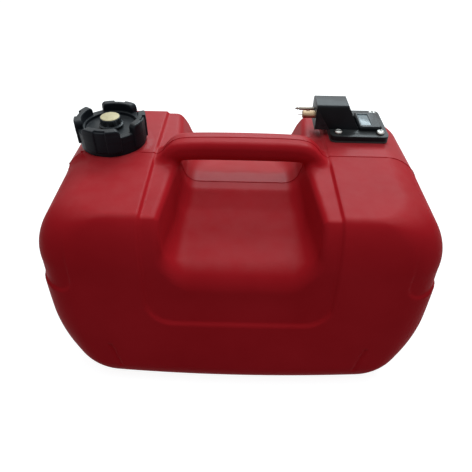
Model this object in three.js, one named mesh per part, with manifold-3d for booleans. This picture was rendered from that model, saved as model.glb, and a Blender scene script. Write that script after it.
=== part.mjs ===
// Portable outboard fuel tank: a blow-moulded red tank with a moulded-in carry handle, a screw cap
// with a vent knob, and a fuel outlet with a float gauge.
// Millimetres, +Z up. The origin is the centre of the underside. +X runs along the tank towards the
// outlet, +Y from the front face to the back face.

import * as THREE from 'three';
import { mergeVertices } from 'three/addons/utils/BufferGeometryUtils.js';
import Module from 'manifold-3d';

const wasm = await Module();
wasm.setup();

// Shared sizes

const overrun = 2; // how far a cutter passes the face that it cuts
const fitGap = 0.3; // clearance between two pieces that touch
const wall = 3.2; // moulded wall of the tank

// Tank shell, outside

const tankLength = 393;
const tankDepth = 291; // at the foot
const faceLean = 26.4; // how far each long face leans in at the shoulder
const shoulderHeight = 214;
const planCornerRadius = 36;
const endTopRun = 45; // how far the ends draw in at the shoulder
const endTopRise = 51.5; // the height over which they do
const endBottomRun = 66; // how far the ends draw in at the foot
const endBottomRise = 104; // the height over which they do
const faceTopRadius = 15;
const faceBottomRadius = 35.5;

// Saddle between the shoulders, which opens into a scoop on both long faces

const saddleDepth = 35; // below the shoulders
const saddleFloorHalf = 52;
const saddleRimHalf = 69.5;
const saddleCornerRadius = 15;
const saddleFlatHalf = 27; // half of the level stretch under the handle
const scoopBreakFromFace = 16; // where the floor turns steeper, measured from the face
const scoopBreakDrop = 21; // below the saddle's floor
const scoopBreakHalf = 60;
const scoopLipDrop = 14.5; // below the break
const scoopLipHalf = 73.5;
const scoopRimHalf = 76;
const scoopLipRadius = 28;

// Shallow U panel round the scoop, and the grip panels on the ends

const panelHalf = 92;
const panelFootHeight = 97;
const panelCornerRadius = 26;
const panelDepth = 3;
const endPanelWidth = 35.5;
const endPanelFootHeight = 136;
const endPanelFadeHeight = 198;
const endPanelCornerRadius = 14;
const endPanelDepth = 2.2;
const endPanelFullShare = 1.5; // above one, the lower part keeps the full depth

// Carry handle

const handleRise = 20; // above the shoulders
const handleThickness = 27;
const handleDepth = 30;
const handleEdgeRadius = 9;
const handleTopHalf = 73; // half of the level top
const handleTopSlope = 1.4; // of the ends that drop to the shoulders
const handleGripHalf = 68; // half of the level underside
const handleRootHalf = 95;

// Filler neck

const neckFromEnd = 56.5;
const neckOffset = 21;
const neckRise = 12.4; // above the shoulders
const neckRadius = 29;
const neckBoreRadius = 25.4;
const neckPadRadius = 36;
const neckPadFootRadius = 44;
const neckPadRise = 1;
const neckPadFootDrop = 8;

// Screw thread of the filler neck and cap

const threadPitch = 5;
const threadTurns = 1.45;
const threadDepth = 1.6;
const threadRootWidth = 1.9;
const threadCrestWidth = 1;
const threadSunk = 0.8; // how far the ridge is rooted in the wall that carries it
const threadFromNeckTop = 1.6;
const threadRunIn = 0.6; // radial play outside the crest

// Filler cap

const capRadius = 37;
const capSkirtRadius = 34.6;
const capFootGap = 2; // above the shoulders
const capBandFoot = 5; // how far the thick bands end above the foot of the skirt
const capFloorThickness = 4;
const capSillRise = 3.5; // above the cap's floor
const capCrownRise = 9.1; // above the sill
const capCrownInner = 29;
const capDishRadius = 27;
const capGapAngle = 24;
const capFirstGapAngle = 40;
const capLobes = 4;
const capGrooveAngle = 19;
const capGrooveDepth = 1.2;
const capNotchDepth = 1.8;
const capNotchInset = 3.2;
const sealThickness = 2;
const sealInner = 22.6;
const sealOuter = 28.6;

// Vent in the middle of the cap

const ventKnobRadius = 11;
const ventKnobFlange = 12.8;
const ventKnobFlangeThickness = 1.6;
const ventKnobFlangeFoot = 2.4; // where the grip starts above the foot of the knob
const ventKnobRoof = 2.4; // between the stem's socket and the disc
const ventKnobGrooves = 14;
const ventGrooveRadius = 0.5;
const ventDiscRadius = 9.9;
const ventDiscThickness = 1.2;
const ventDiscProud = 0.5;
const ventTopBelowCrown = 0.8;
const ventStemRadius = 3;
const ventStopRadius = 4.8;
const ventStopThickness = 2;
const ventTravel = 1.875;
const ventTipLength = 5;
const ventTipRadius = 1;
const ventWasherRadius = 8.5;
const ventWasherThickness = 1.5;

// Land, gasket and screws of the outlet unit

const senderFromEnd = 67;
const senderOffset = 60.5;
const senderWidth = 64;
const senderCornerRadius = 6;
const senderHoleRadius = 25;
const senderLandRise = 0.4;
const senderLandDepth = 14;
const screwSpacing = 46.5;
const screwShankRadius = 2;
const screwHeadRadius = 4.3;
const screwHeadHeight = 3.1;
const screwLength = 17;
const screwTipLength = 2.5;
const screwSlotWidth = 1.1;
const screwSlotDepth = 1.5;
const screwCrownShares = [0.8, 0.5]; // radius at the shoulder and at the top of the head
const screwSlotShare = 0.55; // half length of the cross, of the head's radius
const gasketThickness = 2;

// Outlet housing

const plateThickness = 5.5;
const blockLength = 49.5; // at the foot
const blockTopLength = 34.5;
const blockDepth = 31.5;
const blockHeight = 27.5; // above the plate
const blockOverhang = 16.8; // past the edge of the plate
const blockFootRise = 0.8; // how far its overhang is sunk in the plate
const blockFrontRadius = 2.4;
const blockBackRadius = 7;
const padWidth = 25.5;
const padDepth = 38;
const padRise = 5;
const padCornerRadius = 3;
const padEdge = 1.4;
const padFromPlateEdge = 6;

// Gauge window, drum and gear train

const windowWidth = 12;
const windowLength = 26.5;
const windowLens = 1.6;
const windowLedge = 0.9;
const windowBelowPad = 0.5;
const windowFromPadFront = 5;
const windowShift = 4.2; // how far it sits left of the middle of the pad
const drumRadius = 14;
const drumWidth = 10.6;
const drumRim = 1.8;
const drumWeb = 2.4;
const drumHubRadius = 3.6;
const drumPocketGap = 0.9;
const gearModule = 1.5;
const pinionTeeth = 10;
const sectorTeeth = 20; // teeth of the full wheel that the sector is cut from
const gearAddendum = 1.2;
const gearDedendum = 1.75;
const gearBacklash = 0.32;
const gearWidth = 3.4;
const gearSideGap = 0.5;
const gearPressureAngle = 25;
const sectorStartAngle = 63;
const sectorEndAngle = 189;
const axleRadius = 1.25;
const axleRunGap = 0.08;
const axleOverhang = 0.6;
const cheekThickness = 1.8;
const cheekWidth = 11;
const cheekSideGap = 0.4;
const bracketPlate = 2;
const bracketEdgeGap = 0.6; // between its disc and the hole in the tank
const bracketScrewRadius = 1.4;
const bracketScrewHead = 2.7;
const bracketScrewHeadHeight = 1.8;
const bracketScrewLength = 5;
const bracketScrewFromCheek = 8.5;
const bracketScrewSpread = 16;
const stopBarRadius = 1.5;
const stopBarArm = 14;

// Float

const floatFloorGap = 23.7; // between the resting float and the floor of the tank
const floatArmRadius = 1.5;
const floatRestAngle = 75; // below level
const floatRadius = 15;
const floatLength = 40;
const floatEdge = 3;
const floatHubRadius = 3.8;

// Fuel pick-up and outlet

const pickupRadius = 4;
const pickupBoreRadius = 3;
const pickupFromHoleEdge = 2;
const pickupFromAxis = 7.5;
const pickupSeat = 13;
const strainerRadius = 7;
const strainerHeight = 20;
const strainerWall = 1.2;
const strainerFloorGap = 3;
const strainerSlots = 8;
const strainerSlotWidth = 1.6;
const prongSpacing = 14;
const prongHeight = 14; // above the foot of the block
const nippleRadius = 4.2;
const nippleLength = 14.5;
const nippleSeat = 15;
const nippleBoreRadius = 2.6;
const nippleTipWall = 2.4;
const nippleTipEdge = 0.9;
const nipplePortWidth = 1.8;
const nipplePortLength = 4.2;
const nipplePortFromTip = 4;
const plungerPinRadius = 0.65;
const plungerProud = 4.6;
const plungerHeadRadius = 2.1;
const plungerHeadLength = 2;
const plungerStemRadius = 0.9;
const plungerStemLength = 7;
const springRadius = 1.9;
const springWire = 0.5;
const springLength = 12;
const springTurns = 6;
const guideRadius = 1.9;
const guideLength = 16.5;
const guideTipLength = 5.5;
const guideNeckRadius = 1.1;
const guideNeckLength = 1.6;
const guideShoulderRadius = 1.7;

// Facets

const cornerSteps = 5;
const innerCornerSteps = 4;
const edgeSteps = 5;
const smallSteps = 3;
const wideRound = 40;
const midRound = 24;
const smallRound = 12;
const wedgeStepAngle = 12;
const threadStepsPerTurn = 20;
const springStepsPerTurn = 8;
const springSides = 5;

// Places worked out from the sizes above

const halfLength = tankLength / 2;
const neckX = -(halfLength - neckFromEnd);
const senderX = halfLength - senderFromEnd;
const saddleFloorHeight = shoulderHeight - saddleDepth;
const scoopBreakHeight = saddleFloorHeight - scoopBreakDrop;
const scoopLipHeight = scoopBreakHeight - scoopLipDrop;
const handleTopHeight = shoulderHeight + handleRise;
const neckTopHeight = shoulderHeight + neckRise;
const landHeight = shoulderHeight + senderLandRise;
const gasketFoot = landHeight + fitGap;
const plateFoot = gasketFoot + gasketThickness + fitGap;
const plateTop = plateFoot + plateThickness;
const plateLeft = senderX - senderWidth / 2;
const blockLeft = plateLeft - blockOverhang;
const blockFoot = plateTop - blockFootRise;
const blockTop = plateTop + blockHeight;
const padRight = senderX + senderWidth / 2 - padFromPlateEdge;
const padLeft = padRight - padWidth;
const padFront = senderOffset - padDepth / 2;
const padTop = plateTop + padRise;
const windowX = padLeft + (padWidth - windowWidth) / 2 - windowShift;
const windowFront = padFront + windowFromPadFront;
const windowCentreX = windowX + windowWidth / 2;
const drumY = windowFront + windowLength / 2;
const lensTop = padTop - windowBelowPad;
const pocketRadius = drumRadius + drumPocketGap;
const drumZ = lensTop - windowLens - fitGap - windowLedge - drumPocketGap - drumRadius;
const pinionPitchRadius = (gearModule * pinionTeeth) / 2;
const sectorPitchRadius = (gearModule * sectorTeeth) / 2;
const pivotZ = drumZ - pinionPitchRadius - sectorPitchRadius;
const drumLeft = windowCentreX - drumWidth / 2;
const drumRight = windowCentreX + drumWidth / 2;
const gearLeft = drumRight + gearSideGap;
const gearMiddle = gearLeft + gearWidth / 2;
const cheekLeftInner = drumLeft - cheekSideGap;
const cheekRightInner = gearLeft + gearWidth + cheekSideGap;
const capFloorTop = neckTopHeight + fitGap + sealThickness + fitGap + capFloorThickness;
const capFloorUnder = capFloorTop - capFloorThickness;
const capFootHeight = shoulderHeight + capFootGap;
const capSillHeight = capFloorTop + capSillRise;
const capCrownHeight = capSillHeight + capCrownRise;
const capBoreRadius = neckRadius + threadDepth + threadRunIn;
const ventTopHeight = capCrownHeight - ventTopBelowCrown;
const ventWasherFoot = capFloorTop + fitGap;
const ventKnobFoot = ventWasherFoot + ventWasherThickness + fitGap;
const prongZ = blockFoot + prongHeight;
const nippleY = senderOffset - prongSpacing / 2;
const guideY = senderOffset + prongSpacing / 2;
const pickupReach = Math.sqrt((senderHoleRadius - pickupRadius) ** 2 - pickupFromAxis ** 2);
const pickupX = senderX - pickupReach + pickupFromHoleEdge;
const pickupY = senderOffset - pickupFromAxis;
const pickupTop = plateFoot + pickupSeat;
const floatDrop = pivotZ - wall - floatFloorGap - floatRadius;
const floatArmLength = floatDrop / Math.sin(THREE.MathUtils.degToRad(floatRestAngle));

// Solids

const toRadians = THREE.MathUtils.degToRad;

function solid(geometry) {
  const flat = geometry.index ? geometry.toNonIndexed() : geometry.clone();
  flat.deleteAttribute('normal');
  flat.deleteAttribute('uv');
  const merged = mergeVertices(flat, 1e-4);
  const mesh = new wasm.Mesh({
    numProp: 3,
    vertProperties: merged.attributes.position.array,
    triVerts: new Uint32Array(merged.index.array),
  });
  return new wasm.Manifold(mesh);
}

function surface(body) {
  const mesh = body.getMesh();
  const geometry = new THREE.BufferGeometry();
  geometry.setAttribute('position', new THREE.BufferAttribute(mesh.vertProperties, mesh.numProp));
  geometry.setIndex(new THREE.BufferAttribute(mesh.triVerts, 1));
  return geometry;
}

function joined(...bodies) {
  return bodies.reduce((whole, body) => whole.add(body));
}

function cut(body, ...cutters) {
  return cutters.reduce((rest, cutter) => rest.subtract(cutter), body);
}

// A closed skin over rings of points that all have the same count, with a fan over each end.
function loft(rings) {
  const count = rings[0].length;
  const points = rings.flat();
  const faces = [];
  const centre = (ring) => ring.reduce((sum, p) => sum.add(p), new THREE.Vector3()).divideScalar(count);
  const first = points.push(centre(rings[0])) - 1;
  const last = points.push(centre(rings[rings.length - 1])) - 1;
  const lastRing = (rings.length - 1) * count;
  for (let i = 0; i < count; i += 1) {
    const next = (i + 1) % count;
    faces.push(first, next, i);
    faces.push(last, lastRing + i, lastRing + next);
    for (let ring = 0; ring < rings.length - 1; ring += 1) {
      const low = ring * count;
      const high = low + count;
      faces.push(low + i, low + next, high + next);
      faces.push(low + i, high + next, high + i);
    }
  }
  const geometry = new THREE.BufferGeometry();
  const flat = points.flatMap((p) => [p.x, p.y, p.z]);
  geometry.setAttribute('position', new THREE.Float32BufferAttribute(flat, 3));
  geometry.setIndex(faces);
  return solid(geometry);
}

// A profile of [radius, height] pairs turned about +Z.
function turned(profile, steps = midRound) {
  const piece = new THREE.LatheGeometry(profile.map(([r, z]) => new THREE.Vector2(r, z)), steps);
  return solid(piece.rotateX(Math.PI / 2));
}

function cylinder(radius, foot, top, steps = midRound) {
  return turned([[0, foot], [radius, foot], [radius, top], [0, top]], steps);
}

function ring(inner, outer, foot, top, steps = midRound) {
  return turned([[inner, foot], [outer, foot], [outer, top], [inner, top], [inner, foot]], steps);
}

// A turned piece laid along +X: its profile heights become X.
function turnedAlongX(profile, y, z, steps = smallRound) {
  const piece = new THREE.LatheGeometry(profile.map(([r, x]) => new THREE.Vector2(r, x)), steps);
  return solid(piece.rotateZ(-Math.PI / 2).translate(0, y, z));
}

function rodAlongX(radius, left, right, y, z, steps = smallRound) {
  return turnedAlongX([[0, left], [radius, left], [radius, right], [0, right]], y, z, steps);
}

function ringAlongX(inner, outer, left, right, y, z, steps = midRound) {
  const profile = [[inner, left], [outer, left], [outer, right], [inner, right], [inner, left]];
  return turnedAlongX(profile, y, z, steps);
}

function box(low, high) {
  const size = high.map((value, i) => value - low[i]);
  const middle = high.map((value, i) => (value + low[i]) / 2);
  return solid(new THREE.BoxGeometry(...size).translate(...middle));
}

// The corner points of a rectangle with round corners, counterclockwise.
function roundedRectangle(halfX, halfY, radius, steps) {
  const points = [];
  const inner = [[1, 1], [-1, 1], [-1, -1], [1, -1]];
  inner.forEach(([sx, sy], corner) => {
    for (let i = 0; i <= steps; i += 1) {
      const angle = ((corner + i / steps) * Math.PI) / 2;
      const x = sx * (halfX - radius) + radius * Math.cos(angle);
      const y = sy * (halfY - radius) + radius * Math.sin(angle);
      points.push([x, y]);
    }
  });
  return points;
}

function prism(outline, foot, top) {
  const shape = new THREE.Shape(outline.map(([x, y]) => new THREE.Vector2(x, y)));
  const geometry = new THREE.ExtrudeGeometry(shape, { depth: top - foot, bevelEnabled: false, steps: 1 });
  return solid(geometry.translate(0, 0, foot));
}

// An outline of [x, z] pairs carried along +Y.
function prismAlongY(outline, front, back) {
  const shape = new THREE.Shape(outline.map(([x, z]) => new THREE.Vector2(x, z)));
  const geometry = new THREE.ExtrudeGeometry(shape, { depth: back - front, bevelEnabled: false, steps: 1 });
  return solid(geometry.rotateX(Math.PI / 2).translate(0, back, 0));
}

// An outline of [y, z] pairs carried along +X.
function prismAlongX(outline, left, right) {
  const shape = new THREE.Shape(outline.map(([y, z]) => new THREE.Vector2(y, z)));
  const geometry = new THREE.ExtrudeGeometry(shape, { depth: right - left, bevelEnabled: false, steps: 1 });
  return solid(geometry.rotateY(Math.PI / 2).rotateX(Math.PI / 2).translate(left, 0, 0));
}

function roundedPlate(width, depth, radius, x, y, foot, top) {
  const outline = roundedRectangle(width / 2, depth / 2, radius, smallSteps);
  return prism(outline.map(([px, py]) => [px + x, py + y]), foot, top);
}

// A wedge about an axis along +Z, from one angle to another in degrees.
function wedge(radius, from, to, foot, top) {
  const steps = Math.max(2, Math.ceil((to - from) / wedgeStepAngle));
  const outline = [[0, 0]];
  for (let i = 0; i <= steps; i += 1) {
    const angle = toRadians(from + ((to - from) * i) / steps);
    outline.push([radius * Math.cos(angle), radius * Math.sin(angle)]);
  }
  return prism(outline, foot, top);
}

// Tank body: level sections stacked from the foot to the shoulder. The long faces are rounded over at
// the foot and the shoulder, and the ends swell in tall ellipses. An inset gives the inner skin.

function bodyLevels(steps) {
  const levels = new Set();
  const arcs = [
    [endBottomRise, 0, 1],
    [faceBottomRadius, 0, 1],
    [endTopRise, shoulderHeight, -1],
    [faceTopRadius, shoulderHeight, -1],
  ];
  arcs.forEach(([rise, start, sense]) => {
    for (let i = 0; i <= steps; i += 1) {
      levels.add(start + sense * rise * (1 - Math.cos(((i / steps) * Math.PI) / 2)));
    }
  });
  return [...levels].sort((a, b) => a - b);
}

// How far an edge, rounded by this run over this rise, has drawn in at this distance from its end.
function drawIn(run, rise, distance) {
  if (distance >= rise) return 0;
  return run * (1 - Math.sqrt(1 - (1 - distance / rise) ** 2));
}

function tankBody(inset, insetAt = () => inset) {
  const steps = inset < wall ? cornerSteps : innerCornerSteps;
  const rings = bodyLevels(steps).map((level) => {
    const skin = insetAt(level);
    const share = level / shoulderHeight;
    const fromTop = shoulderHeight - level;
    const endFoot = drawIn(endBottomRun, endBottomRise, level);
    const halfX = halfLength - endFoot - drawIn(endTopRun, endTopRise, fromTop);
    const faceFoot = drawIn(faceBottomRadius, faceBottomRadius, level);
    const faceHead = drawIn(faceTopRadius, faceTopRadius, fromTop);
    const halfY = tankDepth / 2 - faceLean * share - faceFoot - faceHead;
    const z = THREE.MathUtils.lerp(inset, shoulderHeight - inset, share);
    const section = roundedRectangle(halfX - skin, halfY - skin, planCornerRadius - skin, steps);
    return section.map(([x, y]) => new THREE.Vector3(x, y, z));
  });
  return loft(rings);
}

// Saddle and scoops: one channel along Y, with a floor that falls towards both faces.

function channelSection(y, floor, floorHalf, rimHalf, radius, grow) {
  const slope = Math.atan2(rimHalf - floorHalf, shoulderHeight - floor);
  const top = handleTopHeight + wall;
  const lean = Math.tan(slope);
  const footZ = floor - grow;
  const footHalf = floorHalf + grow / Math.cos(slope) - grow * lean;
  const reach = radius * Math.tan((Math.PI / 2 - slope) / 2);
  const centreX = footHalf - reach;
  const centreZ = footZ + radius;
  const right = [];
  for (let i = 0; i <= cornerSteps; i += 1) {
    const angle = -Math.PI / 2 + (i / cornerSteps) * (Math.PI / 2 - slope);
    right.push([centreX + radius * Math.cos(angle), centreZ + radius * Math.sin(angle)]);
  }
  right.push([footHalf + (top - footZ) * lean, top]);
  const left = right.map(([x, z]) => [-x, z]).reverse();
  return [...left, ...right].map(([x, z]) => new THREE.Vector3(x, y, z));
}

function channel(grow) {
  const faceAtLip = tankDepth / 2 - (faceLean * scoopLipHeight) / shoulderHeight;
  const breakY = faceAtLip - scoopBreakFromFace;
  const outside = tankDepth / 2 + overrun;
  const lip = [scoopLipHeight, scoopLipHalf, scoopRimHalf, scoopLipRadius];
  const turn = [scoopBreakHeight, scoopBreakHalf, scoopRimHalf, saddleCornerRadius];
  const level = [saddleFloorHeight, saddleFloorHalf, saddleRimHalf, saddleCornerRadius];
  const stations = [
    [outside, lip],
    [faceAtLip, lip],
    [breakY, turn],
    [saddleFlatHalf, level],
    [-saddleFlatHalf, level],
    [-breakY, turn],
    [-faceAtLip, lip],
    [-outside, lip],
  ];
  return loft(stations.map(([y, section]) => channelSection(y, ...section, grow)));
}

// The U panel's outline in front view, and the two end panels beside it.

function panelOutline(grow) {
  const half = panelHalf + grow;
  const radius = panelCornerRadius + grow;
  const foot = panelFootHeight - grow;
  const top = shoulderHeight + overrun;
  const points = [];
  for (let i = 0; i <= edgeSteps; i += 1) {
    const angle = -Math.PI / 2 + ((i / edgeSteps) * Math.PI) / 2;
    points.push([half - radius + radius * Math.cos(angle), foot + radius + radius * Math.sin(angle)]);
  }
  points.push([half, top]);
  return [...points, ...points.map(([x, z]) => [-x, z]).reverse()];
}

function endPanelOutline(side, grow) {
  const inner = halfLength - endPanelWidth - grow;
  const outer = halfLength + overrun;
  const radius = endPanelCornerRadius + grow;
  const foot = endPanelFootHeight - grow;
  const points = [[outer, foot]];
  for (let i = 0; i <= edgeSteps; i += 1) {
    const angle = -Math.PI / 2 - ((i / edgeSteps) * Math.PI) / 2;
    points.push([inner + radius + radius * Math.cos(angle), foot + radius + radius * Math.sin(angle)]);
  }
  points.push([inner, shoulderHeight + overrun], [outer, shoulderHeight + overrun]);
  const turnedOutline = points.map(([x, z]) => [side * x, z]);
  return side > 0 ? turnedOutline.reverse() : turnedOutline;
}

// The end panel is deepest at its foot and fades out towards the shoulder.
function endPanelInset(level) {
  const share = (endPanelFadeHeight - level) / (endPanelFadeHeight - endPanelFootHeight);
  return endPanelDepth * THREE.MathUtils.clamp(share * endPanelFullShare, 0, 1);
}

function panelCutters(inset) {
  const reach = tankDepth / 2 + overrun;
  const panel = prismAlongY(panelOutline(inset), -reach, reach).subtract(tankBody(panelDepth + inset));
  const fading = tankBody(inset, (level) => inset + endPanelInset(level));
  const ends = [-1, 1].map((side) => {
    const outline = endPanelOutline(side, inset);
    return prismAlongY(outline, -reach, reach).subtract(fading);
  });
  return [panel, ...ends];
}

// Carry handle: upright sections along X that level out over the saddle and drop into the shoulders.

function handle(inset) {
  const radius = handleEdgeRadius - inset;
  const halves = [handleTopHalf, handleGripHalf, handleRootHalf];
  const stations = [...halves, ...halves.map((half) => -half)].sort((a, b) => a - b);
  const rings = stations.map((x) => {
    const topDrop = handleTopSlope * Math.max(0, Math.abs(x) - handleTopHalf);
    const footDrop = Math.max(0, Math.abs(x) - handleGripHalf);
    const top = handleTopHeight - topDrop - inset;
    const foot = handleTopHeight - handleThickness - footDrop + inset;
    const middle = (top + foot) / 2;
    const section = roundedRectangle(handleDepth / 2 - inset, (top - foot) / 2, radius, smallSteps);
    return section.map(([y, z]) => new THREE.Vector3(x, y, z + middle));
  });
  return loft(rings);
}

// A screw thread: a ridge of trapezoid section wound up a right-hand helix.

function threadRidge(rootRadius, crestRadius, start, turns) {
  const steps = Math.round(turns * threadStepsPerTurn);
  const rings = [];
  for (let i = 0; i <= steps; i += 1) {
    const turn = i / threadStepsPerTurn;
    const angle = turn * 2 * Math.PI;
    const z = start + turn * threadPitch;
    const outward = crestRadius > rootRadius ? 1 : -1;
    const buried = rootRadius - outward * threadSunk;
    const section = [
      [buried, -threadRootWidth / 2],
      [rootRadius, -threadRootWidth / 2],
      [crestRadius, -threadCrestWidth / 2],
      [crestRadius, threadCrestWidth / 2],
      [rootRadius, threadRootWidth / 2],
      [buried, threadRootWidth / 2],
    ];
    const ordered = outward > 0 ? section.reverse() : section;
    const [across, along] = [Math.cos(angle), Math.sin(angle)];
    rings.push(ordered.map(([r, dz]) => new THREE.Vector3(r * across, r * along, z + dz)));
  }
  return loft(rings);
}

const neckThreadTop = neckTopHeight - threadFromNeckTop - threadRootWidth / 2;
const neckThreadStart = neckThreadTop - threadTurns * threadPitch;

function screwPlaces() {
  return [[-1, -1], [1, -1], [1, 1], [-1, 1]].map(([sx, sy]) => [
    senderX + (sx * screwSpacing) / 2,
    senderOffset + (sy * screwSpacing) / 2,
  ]);
}

function tankShell() {
  const body = cut(tankBody(0), channel(0), ...panelCutters(0));
  const pad = turned([
    [0, shoulderHeight - neckPadFootDrop],
    [neckPadFootRadius, shoulderHeight - neckPadFootDrop],
    [neckPadRadius, shoulderHeight + neckPadRise],
    [0, shoulderHeight + neckPadRise],
  ], wideRound);
  const neck = cylinder(neckRadius, shoulderHeight - neckPadFootDrop, neckTopHeight, wideRound);
  const landWidth = senderWidth + senderCornerRadius;
  const outerLand = roundedPlate(landWidth, landWidth, senderCornerRadius, senderX, senderOffset,
    landHeight - senderLandDepth, landHeight);
  const outside = joined(body, handle(0), joined(pad, neck).translate(neckX, neckOffset, 0), outerLand);
  const cavity = joined(cut(tankBody(wall), channel(wall), ...panelCutters(wall)), handle(wall));
  const boreFoot = shoulderHeight - neckPadFootDrop - wall;
  const bore = cylinder(neckBoreRadius, boreFoot, neckTopHeight + overrun, wideRound);
  const hollow = joined(cavity, bore.translate(neckX, neckOffset, 0));
  const thread = threadRidge(neckRadius, neckRadius + threadDepth, neckThreadStart, threadTurns);
  const innerLand = senderPlate(landHeight - senderLandDepth, landHeight);
  const holeFoot = landHeight - senderLandDepth - overrun;
  const senderHole = cylinder(senderHoleRadius, holeFoot, landHeight + overrun, wideRound);
  const pilotFoot = plateTop - screwLength - fitGap;
  const pilotRadius = screwShankRadius + fitGap;
  const pilots = cylindersAt(screwPlaces(), pilotRadius, pilotFoot, landHeight + overrun);
  const shell = joined(cut(outside, hollow), innerLand, thread.translate(neckX, neckOffset, 0));
  return cut(shell, senderHole.translate(senderX, senderOffset, 0), ...pilots);
}

// Filler cap

function capBody() {
  const skirt = ring(capBoreRadius, capSkirtRadius, capFootHeight, capFloorUnder, wideRound);
  const floor = cylinder(capSkirtRadius, capFloorUnder, capFloorTop, wideRound);
  const sill = ring(capDishRadius, capSkirtRadius, capFloorUnder, capSillHeight, wideRound);
  const bandFoot = capFootHeight + capBandFoot;
  const bands = ring(capSkirtRadius - threadSunk, capRadius, bandFoot, capCrownHeight, wideRound);
  const crown = ring(capCrownInner, capRadius, capSillHeight - overrun, capCrownHeight, wideRound);
  const below = capFootHeight - overrun;
  const above = capCrownHeight + overrun;
  const reach = capRadius + overrun;
  const notchFoot = capCrownHeight - capNotchDepth;
  const skirtCore = cylinder(capSkirtRadius, below, capSillHeight + overrun, wideRound);
  const grooveCore = cylinder(capRadius - capGrooveDepth, below, above, wideRound);
  const notchCore = cylinder(capRadius - capNotchInset, below, above, wideRound);
  const pitch = 360 / capLobes;
  let cap = joined(skirt, floor, sill, bands, crown);
  for (let lobe = 0; lobe < capLobes; lobe += 1) {
    const gap = capFirstGapAngle + lobe * pitch;
    const [gapStart, gapEnd] = [gap - capGapAngle / 2, gap + capGapAngle / 2];
    const middle = gap + pitch / 2;
    const [grooveStart, grooveEnd] = [middle - capGrooveAngle / 2, middle + capGrooveAngle / 2];
    const open = wedge(reach, gapStart, gapEnd, capSillHeight, above);
    const bare = wedge(reach, gapStart, gapEnd, below, capSillHeight).subtract(skirtCore);
    const groove = wedge(reach, grooveStart, grooveEnd, below, above).subtract(grooveCore);
    const notch = wedge(reach, grooveStart, grooveEnd, notchFoot, above).subtract(notchCore);
    cap = cut(cap, open, bare, groove, notch);
  }
  const threadCrest = neckRadius + threadRunIn + fitGap;
  const thread = threadRidge(capBoreRadius, threadCrest, neckThreadStart + threadPitch / 2, threadTurns);
  const floorUnder = capFloorUnder - overrun;
  const ventHole = cylinder(ventStemRadius + fitGap, floorUnder, capFloorTop + overrun, smallRound);
  return cut(joined(cap, thread), ventHole).translate(neckX, neckOffset, 0);
}

function capSeal() {
  const foot = neckTopHeight + fitGap;
  return ring(sealInner, sealOuter, foot, foot + sealThickness, wideRound).translate(neckX, neckOffset, 0);
}

function ventKnob() {
  const lip = ventTopHeight - ventDiscProud;
  const discSeat = lip - ventDiscThickness;
  const edge = ventDiscProud;
  const socketTop = discSeat - ventKnobRoof;
  const body = turned([
    [ventStemRadius + fitGap, ventKnobFoot],
    [ventKnobFlange, ventKnobFoot],
    [ventKnobFlange, ventKnobFoot + ventKnobFlangeThickness],
    [ventKnobRadius, ventKnobFoot + ventKnobFlangeFoot],
    [ventKnobRadius, lip - edge],
    [ventKnobRadius - edge, lip],
    [ventDiscRadius + fitGap, lip],
    [ventDiscRadius + fitGap, discSeat],
    [0, discSeat],
    [0, socketTop],
    [ventStemRadius + fitGap, socketTop],
    [ventStemRadius + fitGap, ventKnobFoot],
  ], midRound);
  const grooveFoot = ventKnobFoot + ventKnobFlangeFoot;
  const grooves = Array.from({ length: ventKnobGrooves }, (_, i) => {
    const angle = (i / ventKnobGrooves) * 2 * Math.PI;
    const groove = cylinder(ventGrooveRadius, grooveFoot, ventTopHeight + overrun, edgeSteps);
    return groove.translate(ventKnobRadius * Math.cos(angle), ventKnobRadius * Math.sin(angle), 0);
  });
  return cut(body, ...grooves).translate(neckX, neckOffset, 0);
}

function ventDisc() {
  const foot = ventTopHeight - ventDiscProud - ventDiscThickness + fitGap;
  const edge = ventDiscProud / 2;
  return turned([
    [0, foot],
    [ventDiscRadius, foot],
    [ventDiscRadius, ventTopHeight - edge],
    [ventDiscRadius - edge, ventTopHeight],
    [0, ventTopHeight],
  ], wideRound).translate(neckX, neckOffset, 0);
}

function ventStem() {
  const stopTop = capFloorUnder - fitGap - ventTravel;
  const stopFoot = stopTop - ventStopThickness;
  const top = ventTopHeight - ventDiscProud - ventDiscThickness - ventKnobRoof - fitGap;
  return turned([
    [0, stopFoot - ventTipLength],
    [ventTipRadius, stopFoot - ventTipLength],
    [ventStemRadius, stopFoot],
    [ventStopRadius, stopFoot],
    [ventStopRadius, stopTop],
    [ventStemRadius, stopTop],
    [ventStemRadius, top],
    [0, top],
  ], smallRound).translate(neckX, neckOffset, 0);
}

function ventWasher() {
  const top = ventWasherFoot + ventWasherThickness;
  const washer = ring(ventStemRadius + fitGap, ventWasherRadius, ventWasherFoot, top, midRound);
  return washer.translate(neckX, neckOffset, 0);
}

// Outlet unit on the right shoulder

function senderPlate(foot, top) {
  return roundedPlate(senderWidth, senderWidth, senderCornerRadius, senderX, senderOffset, foot, top);
}

// One upright round cutter or pin at each of the given places.
function cylindersAt(places, radius, foot, top, steps = smallRound) {
  return places.map(([x, y]) => cylinder(radius, foot, top, steps).translate(x, y, 0));
}

function senderGasket() {
  const top = gasketFoot + gasketThickness;
  const sheet = senderPlate(gasketFoot, top);
  const hole = cylinder(senderHoleRadius, gasketFoot - overrun, top + overrun, wideRound);
  const holeRadius = screwShankRadius + fitGap;
  const holes = cylindersAt(screwPlaces(), holeRadius, gasketFoot - overrun, top + overrun);
  return cut(sheet, hole.translate(senderX, senderOffset, 0), ...holes);
}

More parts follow.
